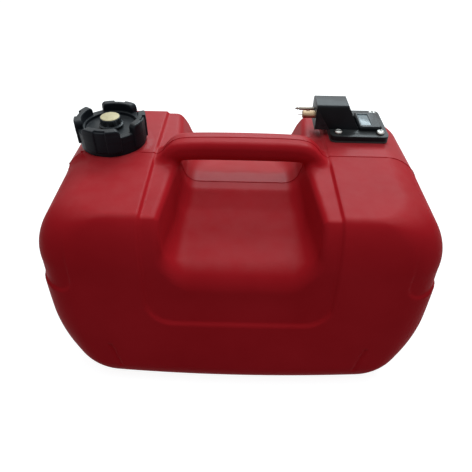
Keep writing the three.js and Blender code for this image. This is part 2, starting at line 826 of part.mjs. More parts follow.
function blockProfileYZ() {
  const front = senderOffset - blockDepth / 2;
  const back = front + blockDepth;
  const foot = blockFoot - overrun;
  const points = [[front, foot], [back, foot]];
  for (let i = 0; i <= edgeSteps; i += 1) {
    const angle = ((i / edgeSteps) * Math.PI) / 2;
    const y = back - blockBackRadius * (1 - Math.cos(angle));
    points.push([y, blockTop - blockBackRadius * (1 - Math.sin(angle))]);
  }
  for (let i = 0; i <= smallSteps; i += 1) {
    const angle = Math.PI / 2 + ((i / smallSteps) * Math.PI) / 2;
    const y = front + blockFrontRadius * (1 + Math.cos(angle));
    points.push([y, blockTop - blockFrontRadius * (1 - Math.sin(angle))]);
  }
  return points;
}

function senderHousing() {
  const plate = senderPlate(plateFoot, plateTop);
  const blockSide = prismAlongY([
    [blockLeft, blockFoot],
    [blockLeft + blockLength, blockFoot],
    [blockLeft + blockTopLength, blockTop],
    [blockLeft, blockTop],
  ], senderOffset - blockDepth, senderOffset + blockDepth);
  const blockEnd = prismAlongX(blockProfileYZ(), blockLeft - overrun, blockLeft + blockLength + overrun);
  const block = blockSide.intersect(blockEnd);
  const padMiddleX = padLeft + padWidth / 2;
  const sections = [
    [0, plateTop - overrun],
    [0, padTop - padEdge],
    [padEdge, padTop],
  ];
  const pad = loft(sections.map(([draw, z]) => {
    const outline = roundedRectangle(padWidth / 2 - draw, padDepth / 2 - draw, padCornerRadius, smallSteps);
    return outline.map(([x, y]) => new THREE.Vector3(x + padMiddleX, y + senderOffset, z));
  }));
  const pocketLeft = cheekLeftInner;
  const pocketRight = cheekRightInner;
  const pocket = rodAlongX(pocketRadius, pocketLeft, pocketRight, drumY, drumZ, wideRound);
  const lensSeat = lensTop - windowLens - fitGap;
  const glazing = box(
    [windowX, windowFront, lensSeat],
    [windowX + windowWidth, windowFront + windowLength, padTop + overrun],
  );
  const sight = box(
    [windowX + windowLedge, windowFront + windowLedge, drumZ],
    [windowX + windowWidth - windowLedge, windowFront + windowLength - windowLedge, padTop],
  );
  const boreStart = blockLeft - overrun;
  const boreEnd = blockLeft + nippleSeat + fitGap;
  const nippleBore = rodAlongX(nippleRadius + fitGap, boreStart, boreEnd, nippleY, prongZ);
  const passage = rodAlongX(pickupBoreRadius, blockLeft, pickupX, pickupY, prongZ);
  const under = plateFoot - overrun;
  const downpipe = cylinder(pickupBoreRadius, pickupTop - overrun, prongZ, smallRound);
  const tubeSeat = cylinder(pickupRadius + fitGap, under, pickupTop + fitGap, midRound);
  const guideBore = rodAlongX(guideRadius + fitGap, boreStart, boreEnd, guideY, prongZ);
  const shanks = cylindersAt(screwPlaces(), screwShankRadius + fitGap, under, plateTop + overrun);
  const heads = cylindersAt(screwPlaces(), screwHeadRadius + fitGap, plateTop, padTop + overrun, midRound);
  const bracketBore = bracketScrewRadius + fitGap;
  const bracketBoreTop = plateFoot + bracketScrewLength;
  const bracketBores = cylindersAt(bracketScrewPlaces(), bracketBore, under, bracketBoreTop);
  return cut(
    joined(plate, block, pad),
    pocket,
    glazing,
    sight,
    nippleBore,
    passage,
    downpipe.translate(pickupX, pickupY, 0),
    tubeSeat.translate(pickupX, pickupY, 0),
    guideBore,
    ...shanks,
    ...heads,
    ...bracketBores,
  );
}

function senderScrew([x, y]) {
  const seat = plateTop + fitGap;
  const top = seat + screwHeadHeight;
  const dome = screwHeadHeight / 2;
  const tip = plateTop - screwLength;
  const [shoulderShare, crownShare] = screwCrownShares;
  const screw = turned([
    [0, tip],
    [screwShankRadius / 3, tip],
    [screwShankRadius, tip + screwTipLength],
    [screwShankRadius, seat],
    [screwHeadRadius, seat],
    [screwHeadRadius, seat + dome],
    [screwHeadRadius * shoulderShare, top - dome / 4],
    [screwHeadRadius * crownShare, top],
    [0, top],
  ], smallRound);
  const halfLong = screwHeadRadius * screwSlotShare;
  const halfWide = screwSlotWidth / 2;
  const slots = [[halfLong, halfWide], [halfWide, halfLong]].map(([hx, hy]) => box(
    [-hx, -hy, top - screwSlotDepth],
    [hx, hy, top + overrun],
  ));
  return cut(screw, ...slots).translate(x, y, 0);
}

function gaugeWindow() {
  const foot = lensTop - windowLens;
  return box(
    [windowX + fitGap, windowFront + fitGap, foot],
    [windowX + windowWidth - fitGap, windowFront + windowLength - fitGap, lensTop],
  );
}

// Gear train: a sector on the float arm turns the pinion of the drum.

// The outline of a spur gear with involute flanks, one tooth centred on the given angle.
function gearOutline(teeth, phase) {
  const pitchRadius = (gearModule * teeth) / 2;
  const pressure = toRadians(gearPressureAngle);
  const baseRadius = pitchRadius * Math.cos(pressure);
  const tipRadius = pitchRadius + gearAddendum;
  const rootRadius = pitchRadius - gearDedendum;
  const involute = (radius) => {
    const tilt = Math.acos(Math.min(1, baseRadius / radius));
    return Math.tan(tilt) - tilt;
  };
  const halfPitchAngle = (Math.PI * gearModule - gearBacklash * 2) / (4 * pitchRadius);
  const flankStart = Math.max(baseRadius, rootRadius);
  const points = [];
  for (let tooth = 0; tooth < teeth; tooth += 1) {
    const middle = phase + (tooth / teeth) * 2 * Math.PI;
    const flank = [[rootRadius, halfPitchAngle + involute(pitchRadius)]];
    for (let i = 0; i <= smallSteps; i += 1) {
      const radius = flankStart + ((tipRadius - flankStart) * i) / smallSteps;
      flank.push([radius, halfPitchAngle + involute(pitchRadius) - involute(radius)]);
    }
    const side = (sense) => flank.map(([radius, half]) => {
      const angle = middle + sense * half;
      return [radius * Math.cos(angle), radius * Math.sin(angle)];
    });
    points.push(...side(-1), ...side(1).reverse());
  }
  return points;
}

function gearAlongX(teeth, phase, y, z, left, right) {
  return prismAlongX(gearOutline(teeth, phase), left, right).translate(0, y, z);
}

function indicatorDrum() {
  const rim = ringAlongX(drumRadius - drumRim, drumRadius, drumLeft, drumRight, drumY, drumZ);
  const webLeft = windowCentreX - drumWeb / 2;
  const web = rodAlongX(drumRadius - drumRim / 2, webLeft, webLeft + drumWeb, drumY, drumZ, midRound);
  const hub = rodAlongX(drumHubRadius, drumLeft, gearLeft + gearWidth, drumY, drumZ, smallRound);
  const gapAtFoot = -Math.PI / 2 + Math.PI / pinionTeeth;
  const pinion = gearAlongX(pinionTeeth, gapAtFoot, drumY, drumZ, gearLeft, gearLeft + gearWidth);
  const boreRadius = axleRadius + axleRunGap;
  const boreRight = gearLeft + gearWidth + overrun;
  const bore = rodAlongX(boreRadius, drumLeft - overrun, boreRight, drumY, drumZ);
  return cut(joined(rim, web, hub, pinion), bore);
}

// A pin through both cheeks at the given height.
function axle(z) {
  const left = cheekLeftInner - cheekThickness - axleOverhang;
  const right = cheekRightInner + cheekThickness + axleOverhang;
  return rodAlongX(axleRadius, left, right, drumY, z);
}

function bracketScrewPlaces() {
  const x = cheekLeftInner - cheekThickness - bracketScrewFromCheek;
  return [-1, 1].map((side) => [x, senderOffset + side * bracketScrewSpread]);
}

// The stop bar lies just below the arm at rest, square to it.
function stopBarPlace() {
  const reach = floatArmRadius + stopBarRadius + fitGap;
  const angle = toRadians(180 + floatRestAngle) + Math.asin(reach / stopBarArm);
  return [drumY + stopBarArm * Math.cos(angle), pivotZ + stopBarArm * Math.sin(angle)];
}

function senderBracket() {
  const top = plateFoot - fitGap;
  const foot = top - bracketPlate;
  const under = foot - overrun;
  const above = top + overrun;
  const disc = cylinder(senderHoleRadius - bracketEdgeGap, foot, top, wideRound);
  const slot = box(
    [cheekLeftInner, drumY - pocketRadius, under],
    [cheekRightInner, drumY + pocketRadius, above],
  );
  const tubeHole = cylinder(pickupRadius + fitGap, under, above, midRound);
  const screwHoles = cylindersAt(bracketScrewPlaces(), bracketScrewRadius + fitGap, under, above);
  const lowest = pivotZ - stopBarArm - stopBarRadius;
  const cheeks = [cheekLeftInner - cheekThickness, cheekRightInner].map((x) => box(
    [x, drumY - cheekWidth / 2, lowest],
    [x + cheekThickness, drumY + cheekWidth / 2, foot + bracketPlate / 2],
  ));
  const [stopY, stopZ] = stopBarPlace();
  const left = cheekLeftInner - cheekThickness;
  const right = cheekRightInner + cheekThickness;
  const stop = rodAlongX(stopBarRadius, left, right, stopY, stopZ);
  const holeRadius = axleRadius + axleRunGap;
  const pinHoles = [drumZ, pivotZ].map((z) => {
    return rodAlongX(holeRadius, left - overrun, right + overrun, drumY, z);
  });
  const plate = cut(
    disc.translate(senderX, senderOffset, 0),
    slot,
    tubeHole.translate(pickupX, pickupY, 0),
    ...screwHoles,
  );
  const frame = joined(plate, ...cheeks, stop);
  return cut(frame, ...pinHoles);
}

function bracketScrew([x, y]) {
  const seat = plateFoot - fitGap - bracketPlate - fitGap;
  return turned([
    [0, seat - bracketScrewHeadHeight],
    [bracketScrewHead * screwCrownShares[0], seat - bracketScrewHeadHeight],
    [bracketScrewHead, seat - bracketScrewHeadHeight / 2],
    [bracketScrewHead, seat],
    [bracketScrewRadius, seat],
    [bracketScrewRadius, plateFoot + bracketScrewLength - fitGap],
    [0, plateFoot + bracketScrewLength - fitGap],
  ], smallRound).translate(x, y, 0);
}

const floatLeft = gearMiddle - floatArmRadius * 2 - floatLength;

function armDirection() {
  const angle = toRadians(180 + floatRestAngle);
  return [Math.cos(angle), Math.sin(angle)];
}

function floatArm() {
  const gear = gearAlongX(sectorTeeth, Math.PI / 2, 0, 0, gearLeft, gearLeft + gearWidth);
  const reach = sectorPitchRadius + gearAddendum + overrun * 2;
  const points = [[0, 0]];
  for (let i = 0; i <= cornerSteps; i += 1) {
    const angle = toRadians(THREE.MathUtils.lerp(sectorStartAngle, sectorEndAngle, i / cornerSteps));
    points.push([reach * Math.cos(angle), reach * Math.sin(angle)]);
  }
  const keep = prismAlongX(points, gearLeft - overrun, gearLeft + gearWidth + overrun);
  const hub = rodAlongX(floatHubRadius, drumLeft, gearLeft + gearWidth, 0, 0);
  const [dy, dz] = armDirection();
  const shank = cylinder(floatArmRadius, floatHubRadius / 2, floatArmLength, smallRound);
  const upright = shank.rotate([90 + floatRestAngle, 0, 0]).translate(gearMiddle, 0, 0);
  const elbow = solid(new THREE.SphereGeometry(floatArmRadius, smallRound, smallRound / 2));
  const axis = [gearMiddle, dy * floatArmLength, dz * floatArmLength];
  const spindle = rodAlongX(floatArmRadius, floatLeft - floatArmRadius * 2, gearMiddle, axis[1], axis[2]);
  const rod = joined(upright, elbow.translate(...axis), spindle);
  const bore = rodAlongX(axleRadius + axleRunGap, drumLeft - overrun, gearLeft + gearWidth + overrun, 0, 0);
  return cut(joined(gear.intersect(keep), hub, rod), bore).translate(0, drumY, pivotZ);
}

function floatBody() {
  const right = floatLeft + floatLength;
  const [dy, dz] = armDirection();
  const bore = floatArmRadius + fitGap;
  return turnedAlongX([
    [bore, floatLeft],
    [floatRadius - floatEdge, floatLeft],
    [floatRadius, floatLeft + floatEdge],
    [floatRadius, right - floatEdge],
    [floatRadius - floatEdge, right],
    [bore, right],
    [bore, floatLeft],
  ], drumY + dy * floatArmLength, pivotZ + dz * floatArmLength, midRound);
}

// Fuel pick-up and outlet

const strainerFoot = wall + strainerFloorGap;

function pickupTube() {
  const foot = strainerFoot + strainerHeight / 2;
  return ring(pickupBoreRadius, pickupRadius, foot, pickupTop, smallRound).translate(pickupX, pickupY, 0);
}

function pickupStrainer() {
  const top = strainerFoot + strainerHeight;
  const inner = strainerRadius - strainerWall;
  const cup = turned([
    [0, strainerFoot],
    [strainerRadius, strainerFoot],
    [strainerRadius, top],
    [pickupRadius + fitGap, top],
    [pickupRadius + fitGap, top - strainerWall * 2],
    [inner, top - strainerWall * 3],
    [inner, strainerFoot + strainerWall],
    [0, strainerFoot + strainerWall],
  ], midRound);
  const slots = Array.from({ length: strainerSlots / 2 }, (_, i) => {
    const slot = box(
      [-strainerRadius - overrun, -strainerSlotWidth / 2, strainerFoot + strainerWall * 2],
      [strainerRadius + overrun, strainerSlotWidth / 2, top - strainerWall * 4],
    );
    return slot.rotate([0, 0, (i / strainerSlots) * 360]);
  });
  return cut(cup, ...slots).translate(pickupX, pickupY, 0);
}

const nippleTip = blockLeft - nippleLength;
const plungerHeadLeft = nippleTip + nippleTipWall + fitGap;
const plungerHeadRight = plungerHeadLeft + plungerHeadLength;
const springLeft = plungerHeadRight + fitGap;
const springRight = springLeft + springLength;

function fuelNipple() {
  const end = blockLeft + nippleSeat;
  const pinHole = plungerPinRadius + fitGap;
  const seat = springRight + fitGap;
  const body = turnedAlongX([
    [pinHole, nippleTip],
    [nippleRadius - nippleTipEdge, nippleTip],
    [nippleRadius, nippleTip + nippleTipEdge],
    [nippleRadius, end],
    [plungerStemRadius + fitGap, end],
    [plungerStemRadius + fitGap, seat],
    [nippleBoreRadius, seat],
    [nippleBoreRadius, nippleTip + nippleTipWall],
    [pinHole, nippleTip + nippleTipWall],
    [pinHole, nippleTip],
  ], nippleY, prongZ, midRound);
  const portLeft = nippleTip + nipplePortFromTip;
  const portHalf = nipplePortWidth / 2;
  const port = box(
    [portLeft, nippleY - portHalf, prongZ],
    [portLeft + nipplePortLength, nippleY + portHalf, prongZ + nippleRadius + overrun],
  );
  return body.subtract(port);
}

function checkPlunger() {
  const stemEnd = plungerHeadRight + plungerStemLength;
  return turnedAlongX([
    [0, nippleTip - plungerProud],
    [plungerPinRadius, nippleTip - plungerProud],
    [plungerPinRadius, plungerHeadLeft],
    [plungerHeadRadius, plungerHeadLeft],
    [plungerHeadRadius, plungerHeadRight],
    [plungerStemRadius, plungerHeadRight],
    [plungerStemRadius, stemEnd],
    [0, stemEnd],
  ], nippleY, prongZ, smallRound);
}

function checkSpring() {
  const steps = springTurns * springStepsPerTurn;
  const rings = [];
  const wireRadius = springWire / 2;
  const coilRadius = springRadius - wireRadius;
  for (let i = 0; i <= steps; i += 1) {
    const share = i / steps;
    const angle = share * springTurns * 2 * Math.PI;
    const x = THREE.MathUtils.lerp(springLeft + wireRadius, springRight - wireRadius, share);
    const section = Array.from({ length: springSides }, (_, k) => {
      const turn = (k / springSides) * 2 * Math.PI;
      const radius = coilRadius + wireRadius * Math.cos(turn);
      return new THREE.Vector3(
        x - wireRadius * Math.sin(turn),
        nippleY + radius * Math.cos(angle),
        prongZ + radius * Math.sin(angle),
      );
    });
    rings.push(section);
  }
  return loft(rings);
}

function guidePin() {
  const end = blockLeft + nippleSeat;
  const shoulder = blockLeft - guideLength;
  const tipStart = shoulder - guideNeckLength;
  const tip = shoulder - guideTipLength;
  return turnedAlongX([
    [0, tip],
    [guideShoulderRadius, tipStart],
    [guideNeckRadius, tipStart],
    [guideNeckRadius, shoulder],
    [guideRadius, shoulder],
    [guideRadius, end],
    [0, end],
  ], guideY, prongZ, smallRound);
}

// Pieces and their finishes

const finishes = {
  redPolyethylene: { color: 0xa32430, roughness: 0.42, metalness: 0 },
  blackPlastic: { color: 0x26272b, roughness: 0.5, metalness: 0 },
  blackRubber: { color: 0x1b1b1d, roughness: 0.85, metalness: 0 },
  brass: { color: 0xb08d57, roughness: 0.32, metalness: 1 },
  paleBrass: { color: 0xd9cba2, roughness: 0.3, metalness: 1 },
  steel: { color: 0xb9b8b4, roughness: 0.28, metalness: 1 },
  clearPlastic: { color: 0xb7c2c6, roughness: 0.08, metalness: 0 },
  whitePlastic: { color: 0xd8d8d2, roughness: 0.5, metalness: 0 },
  floatFoam: { color: 0x2e2f31, roughness: 0.8, metalness: 0 },
};

const assembly = new THREE.Group();
assembly.name = 'outboard_fuel_tank';

function place(name, body, finish) {
  const mesh = new THREE.Mesh(surface(body), new THREE.MeshStandardMaterial(finishes[finish]));
  mesh.name = name;
  assembly.add(mesh);
}

place('tank_shell', tankShell(), 'redPolyethylene');
place('cap_seal', capSeal(), 'blackRubber');
place('cap_body', capBody(), 'blackPlastic');
place('vent_stem', ventStem(), 'brass');
place('vent_washer', ventWasher(), 'blackRubber');
place('vent_knob', ventKnob(), 'blackPlastic');
place('vent_disc', ventDisc(), 'paleBrass');
place('sender_gasket', senderGasket(), 'blackRubber');
place('sender_housing', senderHousing(), 'blackPlastic');
screwPlaces().forEach((spot, i) => place(`sender_screw_${i + 1}`, senderScrew(spot), 'steel'));
place('gauge_window', gaugeWindow(), 'clearPlastic');
place('sender_bracket', senderBracket(), 'steel');
bracketScrewPlaces().forEach((spot, i) => place(`bracket_screw_${i + 1}`, bracketScrew(spot), 'steel'));
place('indicator_axle', axle(drumZ), 'steel');
place('indicator_drum', indicatorDrum(), 'whitePlastic');
place('float_pivot_pin', axle(pivotZ), 'steel');
place('float_arm', floatArm(), 'whitePlastic');
place('float_body', floatBody(), 'floatFoam');
place('pickup_tube', pickupTube(), 'whitePlastic');
place('pickup_strainer', pickupStrainer(), 'whitePlastic');
place('fuel_nipple', fuelNipple(), 'brass');
place('check_plunger', checkPlunger(), 'steel');
place('check_spring', checkSpring(), 'steel');
place('guide_pin', guidePin(), 'brass');

export default assembly;
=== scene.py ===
# %% [markdown]
# A portable fuel tank for an outboard motor, dressed for rendering. The CAD model gives every size and
# place, so this script starts by loading it and then gives each piece the surface of the real thing.

# %% Load the frame
import math

import bmesh
import bpy
import numpy as np
from mathutils import Matrix, Vector


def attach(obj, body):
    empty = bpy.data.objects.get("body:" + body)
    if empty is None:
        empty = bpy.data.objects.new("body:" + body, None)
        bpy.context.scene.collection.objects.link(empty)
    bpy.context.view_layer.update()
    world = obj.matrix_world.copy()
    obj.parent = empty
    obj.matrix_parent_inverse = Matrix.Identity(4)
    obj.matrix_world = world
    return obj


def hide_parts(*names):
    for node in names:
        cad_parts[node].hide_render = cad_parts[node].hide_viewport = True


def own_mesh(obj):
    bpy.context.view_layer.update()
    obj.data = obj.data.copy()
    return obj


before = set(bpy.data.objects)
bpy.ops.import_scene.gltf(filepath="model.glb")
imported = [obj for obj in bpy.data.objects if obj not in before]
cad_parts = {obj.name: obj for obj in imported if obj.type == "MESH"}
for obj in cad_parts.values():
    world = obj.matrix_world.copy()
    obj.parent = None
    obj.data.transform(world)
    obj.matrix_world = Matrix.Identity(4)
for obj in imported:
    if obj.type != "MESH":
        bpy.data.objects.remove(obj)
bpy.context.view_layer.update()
MM = 0.001

# %% [markdown]
# The camera stands where the photographer stood. Its focal length, height and tilt come from fitting the
# tank's corners to their places in the photograph, so the tank can be compared with it line by line.

# %% Camera
FRAME_PX = 472
FOCAL_PX = 440.0
SENSOR_MM = 36.0
TILT, YAW, ROLL = math.radians(41.9), math.radians(-0.4), math.radians(1.0)
camera_place = Vector((-2.1, -405.1, 461.8)) * MM

forward = Vector((math.sin(YAW) * math.cos(TILT), math.cos(YAW) * math.cos(TILT), -math.sin(TILT)))
level_right = Vector((math.cos(YAW), -math.sin(YAW), 0))
level_up = level_right.cross(forward)
camera_right = level_right * math.cos(ROLL) + level_up * math.sin(ROLL)
camera_up = level_up * math.cos(ROLL) - level_right * math.sin(ROLL)

camera_data = bpy.data.cameras.new("photo_camera")
camera_data.sensor_width = SENSOR_MM
camera_data.lens = FOCAL_PX * SENSOR_MM / FRAME_PX
camera_data.clip_start = 0.01
camera = bpy.data.objects.new("photo_camera", camera_data)
camera_turn = Matrix((camera_right, camera_up, -forward)).transposed()
camera.matrix_world = Matrix.Translation(camera_place) @ camera_turn.to_4x4()
bpy.context.scene.collection.objects.link(camera)
bpy.context.scene.camera = camera
bpy.context.scene.view_settings.view_transform = "Standard"
print("lens in mm:", round(camera_data.lens, 2))

# %% [markdown]
# The tank was photographed on white. A floor that lit it with full white would wash its red out, so the
# floor is mixed from two shaders: rays that show it find it white, and the light that it throws back on
# the tank comes from a plain grey. A shadow still falls on it, softly.


# %% Floor
def feed(tree, value, into):
    """Bring a value into a socket: a wire from another socket, or a plain number or colour."""
    if isinstance(value, bpy.types.NodeSocket):
        tree.links.new(value, into)
    else:
        into.default_value = value


def node(tree, kind, **settings):
    """Add a node with its properties and inputs. A space in an input's name is written as an underscore."""
    made = tree.nodes.new(kind)
    for key, value in settings.items():
        if hasattr(made, key):
            setattr(made, key, value)
        else:
            feed(tree, value, made.inputs[key.replace("_", " ")])
    return made


def maths(tree, operation, *values):
    """One number worked out from others, each a socket or a plain number."""
    made = node(tree, "ShaderNodeMath", operation=operation)
    for value, into in zip(values, made.inputs):
        feed(tree, value, into)
    return made.outputs[0]


def white_when_seen(tree, plain, white, into):
    """Show one shader to the camera, to reflections and through glass, and another to all other light."""
    rays = node(tree, "ShaderNodeLightPath")
    direct = maths(tree, "MAXIMUM", rays.outputs["Is Camera Ray"], rays.outputs["Is Glossy Ray"])
    seen = maths(tree, "MAXIMUM", direct, rays.outputs["Is Transmission Ray"])
    chosen = node(tree, "ShaderNodeMixShader")
    for value, entry in zip((seen, plain, white), chosen.inputs):
        feed(tree, value, entry)
    feed(tree, chosen.outputs[0], into)


def made_mesh(name, points, faces):
    """A mesh object from points in millimetres."""
    mesh = bpy.data.meshes.new(name)
    mesh.from_pydata((np.asarray(points, float) * MM).tolist(), [], faces)
    mesh.update()
    piece = bpy.data.objects.new(name, mesh)
    bpy.context.scene.collection.objects.link(piece)
    return piece


FLOOR_HALF, FLOOR_LEVEL, FLOOR_GREY, FLOOR_GLOW = 3000, -0.4, 0.36, 0.9
corner_turns = ((-1, -1), (1, -1), (1, 1), (-1, 1))
floor = made_mesh("floor", [(u * FLOOR_HALF, v * FLOOR_HALF, FLOOR_LEVEL) for u, v in corner_turns],
                  [(0, 1, 2, 3)])
floor_paint = bpy.data.materials.new("floor_paint")
floor_paint.use_nodes = True
tree = floor_paint.node_tree
shader = tree.nodes["Principled BSDF"]
shader.inputs["Base Color"].default_value = (FLOOR_GREY, FLOOR_GREY, FLOOR_GREY, 1)
shader.inputs["Roughness"].default_value = 0.9
shader.inputs["Specular IOR Level"].default_value = 0
glow = node(tree, "ShaderNodeEmission", Strength=FLOOR_GLOW)
lit = node(tree, "ShaderNodeAddShader")
feed(tree, shader.outputs[0], lit.inputs[0])
feed(tree, glow.outputs[0], lit.inputs[1])
white_when_seen(tree, shader.outputs[0], lit.outputs[0], tree.nodes["Material Output"].inputs[0])
floor.data.materials.append(floor_paint)
print("floor width in mm:", 2 * FLOOR_HALF)

# %% [markdown]
# A bright sky stood over the tank. The world gives an even, faintly blue light, and two large lamps add
# the rest: one high up, and one behind, which draws the pale sheen on the tops. Lamps this large leave no
# hard shadow edge, as under an open sky.

# %% World and lamps
SKY_LEVEL, SKY_COLOUR, LAMP_COLOUR = 0.27, (0.95, 0.97, 1.0, 1), (0.80, 0.94, 1.0)
world = bpy.data.worlds.new("white_sky")
bpy.context.scene.world = world
world.use_nodes = True
tree = world.node_tree
sky = tree.nodes["Background"]
sky.inputs["Color"].default_value = SKY_COLOUR
sky.inputs["Strength"].default_value = SKY_LEVEL
white = node(tree, "ShaderNodeBackground", Color=(1, 1, 1, 1), Strength=1.0)
white_when_seen(tree, sky.outputs[0], white.outputs[0], tree.nodes["World Output"].inputs[0])


def softbox(name, place, aim, width, depth, power):
    """A rectangular lamp at a place in millimetres that faces a point."""
    data = bpy.data.lights.new(name, "AREA")
    data.shape = "RECTANGLE"
    data.size, data.size_y = width * MM, depth * MM
    data.energy = power
    data.color = LAMP_COLOUR
    lamp = bpy.data.objects.new(name, data)
    lamp.location = Vector(place) * MM
    lamp.rotation_euler = (Vector(aim) * MM - lamp.location).to_track_quat("-Z", "Y").to_euler()
    bpy.context.scene.collection.objects.link(lamp)


softbox("high_sky", place=(150, -80, 1400), aim=(0, 0, 120), width=1400, depth=1100, power=9)
softbox("back_sky", place=(250, 1100, 1150), aim=(0, 0, 180), width=1300, depth=700, power=16)

# %% [markdown]
# Moulded plastic is never quite even. Its colour clouds a little over a hand's width, and close up it has
# a fine grain from the mould. Both appear in every finish by different amounts, so each is a node group
# that puts out a plain number, made of noise in the piece's own coordinates so that it moves with it.


# %% Mottling and grain
def effect(name, inputs, output):
    """An empty node group with named number inputs and one number output, with its two end nodes."""
    group = bpy.data.node_groups.new(name, "ShaderNodeTree")
    for title, default in inputs.items():
        socket = group.interface.new_socket(title, in_out="INPUT", socket_type="NodeSocketFloat")
        socket.default_value = default
    group.interface.new_socket(output, in_out="OUTPUT", socket_type="NodeSocketFloat")
    return group, node(group, "NodeGroupInput"), node(group, "NodeGroupOutput")


def own_place(tree):
    """The place on a piece in its own coordinates."""
    return node(tree, "ShaderNodeTexCoord").outputs["Object"]


def share_of(tree, value, low, high, kind="LINEAR"):
    """How far a value has come from a low to a high number, from 0 to 1."""
    made = node(tree, "ShaderNodeMapRange", interpolation_type=kind, Value=value, From_Min=low, From_Max=high)
    return made.outputs[0]


mottle, into, out = effect("broad_mottle", {"Scale": 18.0}, "Value")
clouds = node(mottle, "ShaderNodeTexNoise", Vector=own_place(mottle), Scale=into.outputs["Scale"],
              Detail=3.0, Roughness=0.55)
feed(mottle, share_of(mottle, clouds.outputs["Fac"], 0.32, 0.68), out.inputs["Value"])

grain, into, out = effect("fine_grain", {"Scale": 900.0}, "Height")
clouds = node(grain, "ShaderNodeTexNoise", Vector=own_place(grain), Scale=into.outputs["Scale"],
              Detail=2.0, Roughness=0.6)
pits = node(grain, "ShaderNodeTexVoronoi", Vector=own_place(grain), Scale=into.outputs["Scale"])
feed(grain, maths(grain, "MULTIPLY", clouds.outputs["Fac"], pits.outputs["Distance"]), out.inputs["Height"])
print("effects:", mottle.name, grain.name)

# %% [markdown]
# Use leaves its marks in two places. Edges pale where hands and boards rub them, and dust lies on what
# faces up. The renderer knows how sharply a surface bends and which way it faces, so both are masks made
# from that, broken up by noise so that neither ends in a clean line.


# %% Wear and dust
def facing_up(tree):
    """How far a surface faces up: the height of its normal, from -1 to 1."""
    surface = node(tree, "ShaderNodeNewGeometry")
    return node(tree, "ShaderNodeSeparateXYZ", Vector=surface.outputs["Normal"]).outputs["Z"]


wear, into, out = effect("worn_edges", {"Start": 0.53, "End": 0.62}, "Mask")
bend = node(wear, "ShaderNodeNewGeometry").outputs["Pointiness"]
edge = share_of(wear, bend, into.outputs["Start"], into.outputs["End"], "SMOOTHSTEP")
broken = node(wear, "ShaderNodeTexNoise", Vector=own_place(wear), Scale=160.0, Detail=4.0)
feed(wear, maths(wear, "MULTIPLY", edge, broken.outputs["Fac"]), out.inputs["Mask"])

dust, into, out = effect("settled_dust", {"Scale": 70.0}, "Mask")
level = share_of(dust, facing_up(dust), 0.75, 1.0, "SMOOTHSTEP")
broken = node(dust, "ShaderNodeTexNoise", Vector=own_place(dust), Scale=into.outputs["Scale"], Detail=6.0)
feed(dust, maths(dust, "MULTIPLY", level, broken.outputs["Fac"]), out.inputs["Mask"])
print("effects:", wear.name, dust.name)

# %% [markdown]
# A painted sheen on the tops: this group puts out the weight of a thin clear coat, most on what lies level,
# and on slopes too in the rear half, where the low sky behind is mirrored, so the tops shine more than the
# sides.

# %% Painted sheen on the tops
# Painted sheen: the coat's weight follows which way a surface faces and the rear half, standing in for the sky
# mirrored on the tops.
painted_sheen, into, out = effect("painted_top_sheen", {"Amount": 0.8, "Rear Gain": 0.0}, "Weight")
level = share_of(painted_sheen, facing_up(painted_sheen), 0.8, 1.0, "SMOOTHSTEP")
sloping = share_of(painted_sheen, facing_up(painted_sheen), 0.0, 0.7, "SMOOTHSTEP")
depth_place = node(painted_sheen, "ShaderNodeSeparateXYZ", Vector=own_place(painted_sheen)).outputs["Y"]
rear = share_of(painted_sheen, depth_place, -0.4 * MM, 0.4 * MM)
rear_gain = maths(painted_sheen, "MULTIPLY", rear, into.outputs["Rear Gain"])
shine = maths(painted_sheen, "MULTIPLY_ADD", rear_gain, sloping, level)
feed(painted_sheen, maths(painted_sheen, "MULTIPLY", shine, into.outputs["Amount"]), out.inputs["Weight"])
print("effects:", painted_sheen.name)

# %% [markdown]
# Every material here, plastic or metal, varies in the same ways, so one function builds them all: two
# close colours clouded into each other, paler edges, a little dust, a roughness that swings between two
# levels, and the grain as a bump, which is too fine to be worth real geometry.

# %% Finish builder
MIX_UNDER, MIX_OVER, MIX_RESULT = 6, 7, 2
DUST_COLOUR = (0.55, 0.53, 0.50, 1)


def blended(tree, share, under, over):
    """A colour between two, each a socket or a colour, by a share from 0 to 1."""
    mix = node(tree, "ShaderNodeMix", data_type="RGBA")
    for value, entry in ((share, 0), (under, MIX_UNDER), (over, MIX_OVER)):
        feed(tree, value, mix.inputs[entry])
    return mix.outputs[MIX_RESULT]


def finish(name, colour, second, roughness, swing, metallic=0.0, mottle_scale=18.0, grain_scale=900.0,
           grain_depth=0.02, wear_colour=None, wear_amount=0.4, dust_amount=0.1):
    """A finish: two close colours, a swinging roughness, grain to a depth in mm, worn edges and dust."""
    material = bpy.data.materials.new(name)
    material.use_nodes = True
    tree = material.node_tree
    shader = tree.nodes["Principled BSDF"]
    patches = node(tree, "ShaderNodeGroup", node_tree=mottle, Scale=mottle_scale).outputs["Value"]
    mixed = blended(tree, patches, (*colour, 1), (*second, 1))
    edges = node(tree, "ShaderNodeGroup", node_tree=wear).outputs["Mask"]
    worn = blended(tree, maths(tree, "MULTIPLY", edges, wear_amount), mixed, (*(wear_colour or second), 1))
    settled = node(tree, "ShaderNodeGroup", node_tree=dust).outputs["Mask"]
    dusty = blended(tree, maths(tree, "MULTIPLY", settled, dust_amount), worn, DUST_COLOUR)
    feed(tree, dusty, shader.inputs["Base Color"])
    feed(tree, metallic, shader.inputs["Metallic"])
    rough = node(tree, "ShaderNodeMapRange", Value=patches, To_Min=roughness, To_Max=roughness + swing)
    feed(tree, rough.outputs[0], shader.inputs["Roughness"])
    fine = node(tree, "ShaderNodeGroup", node_tree=grain, Scale=grain_scale)
    bump = node(tree, "ShaderNodeBump", Strength=0.6, Distance=grain_depth * MM, Height=fine.outputs["Height"])
    feed(tree, bump.outputs[0], shader.inputs["Normal"])
    return material


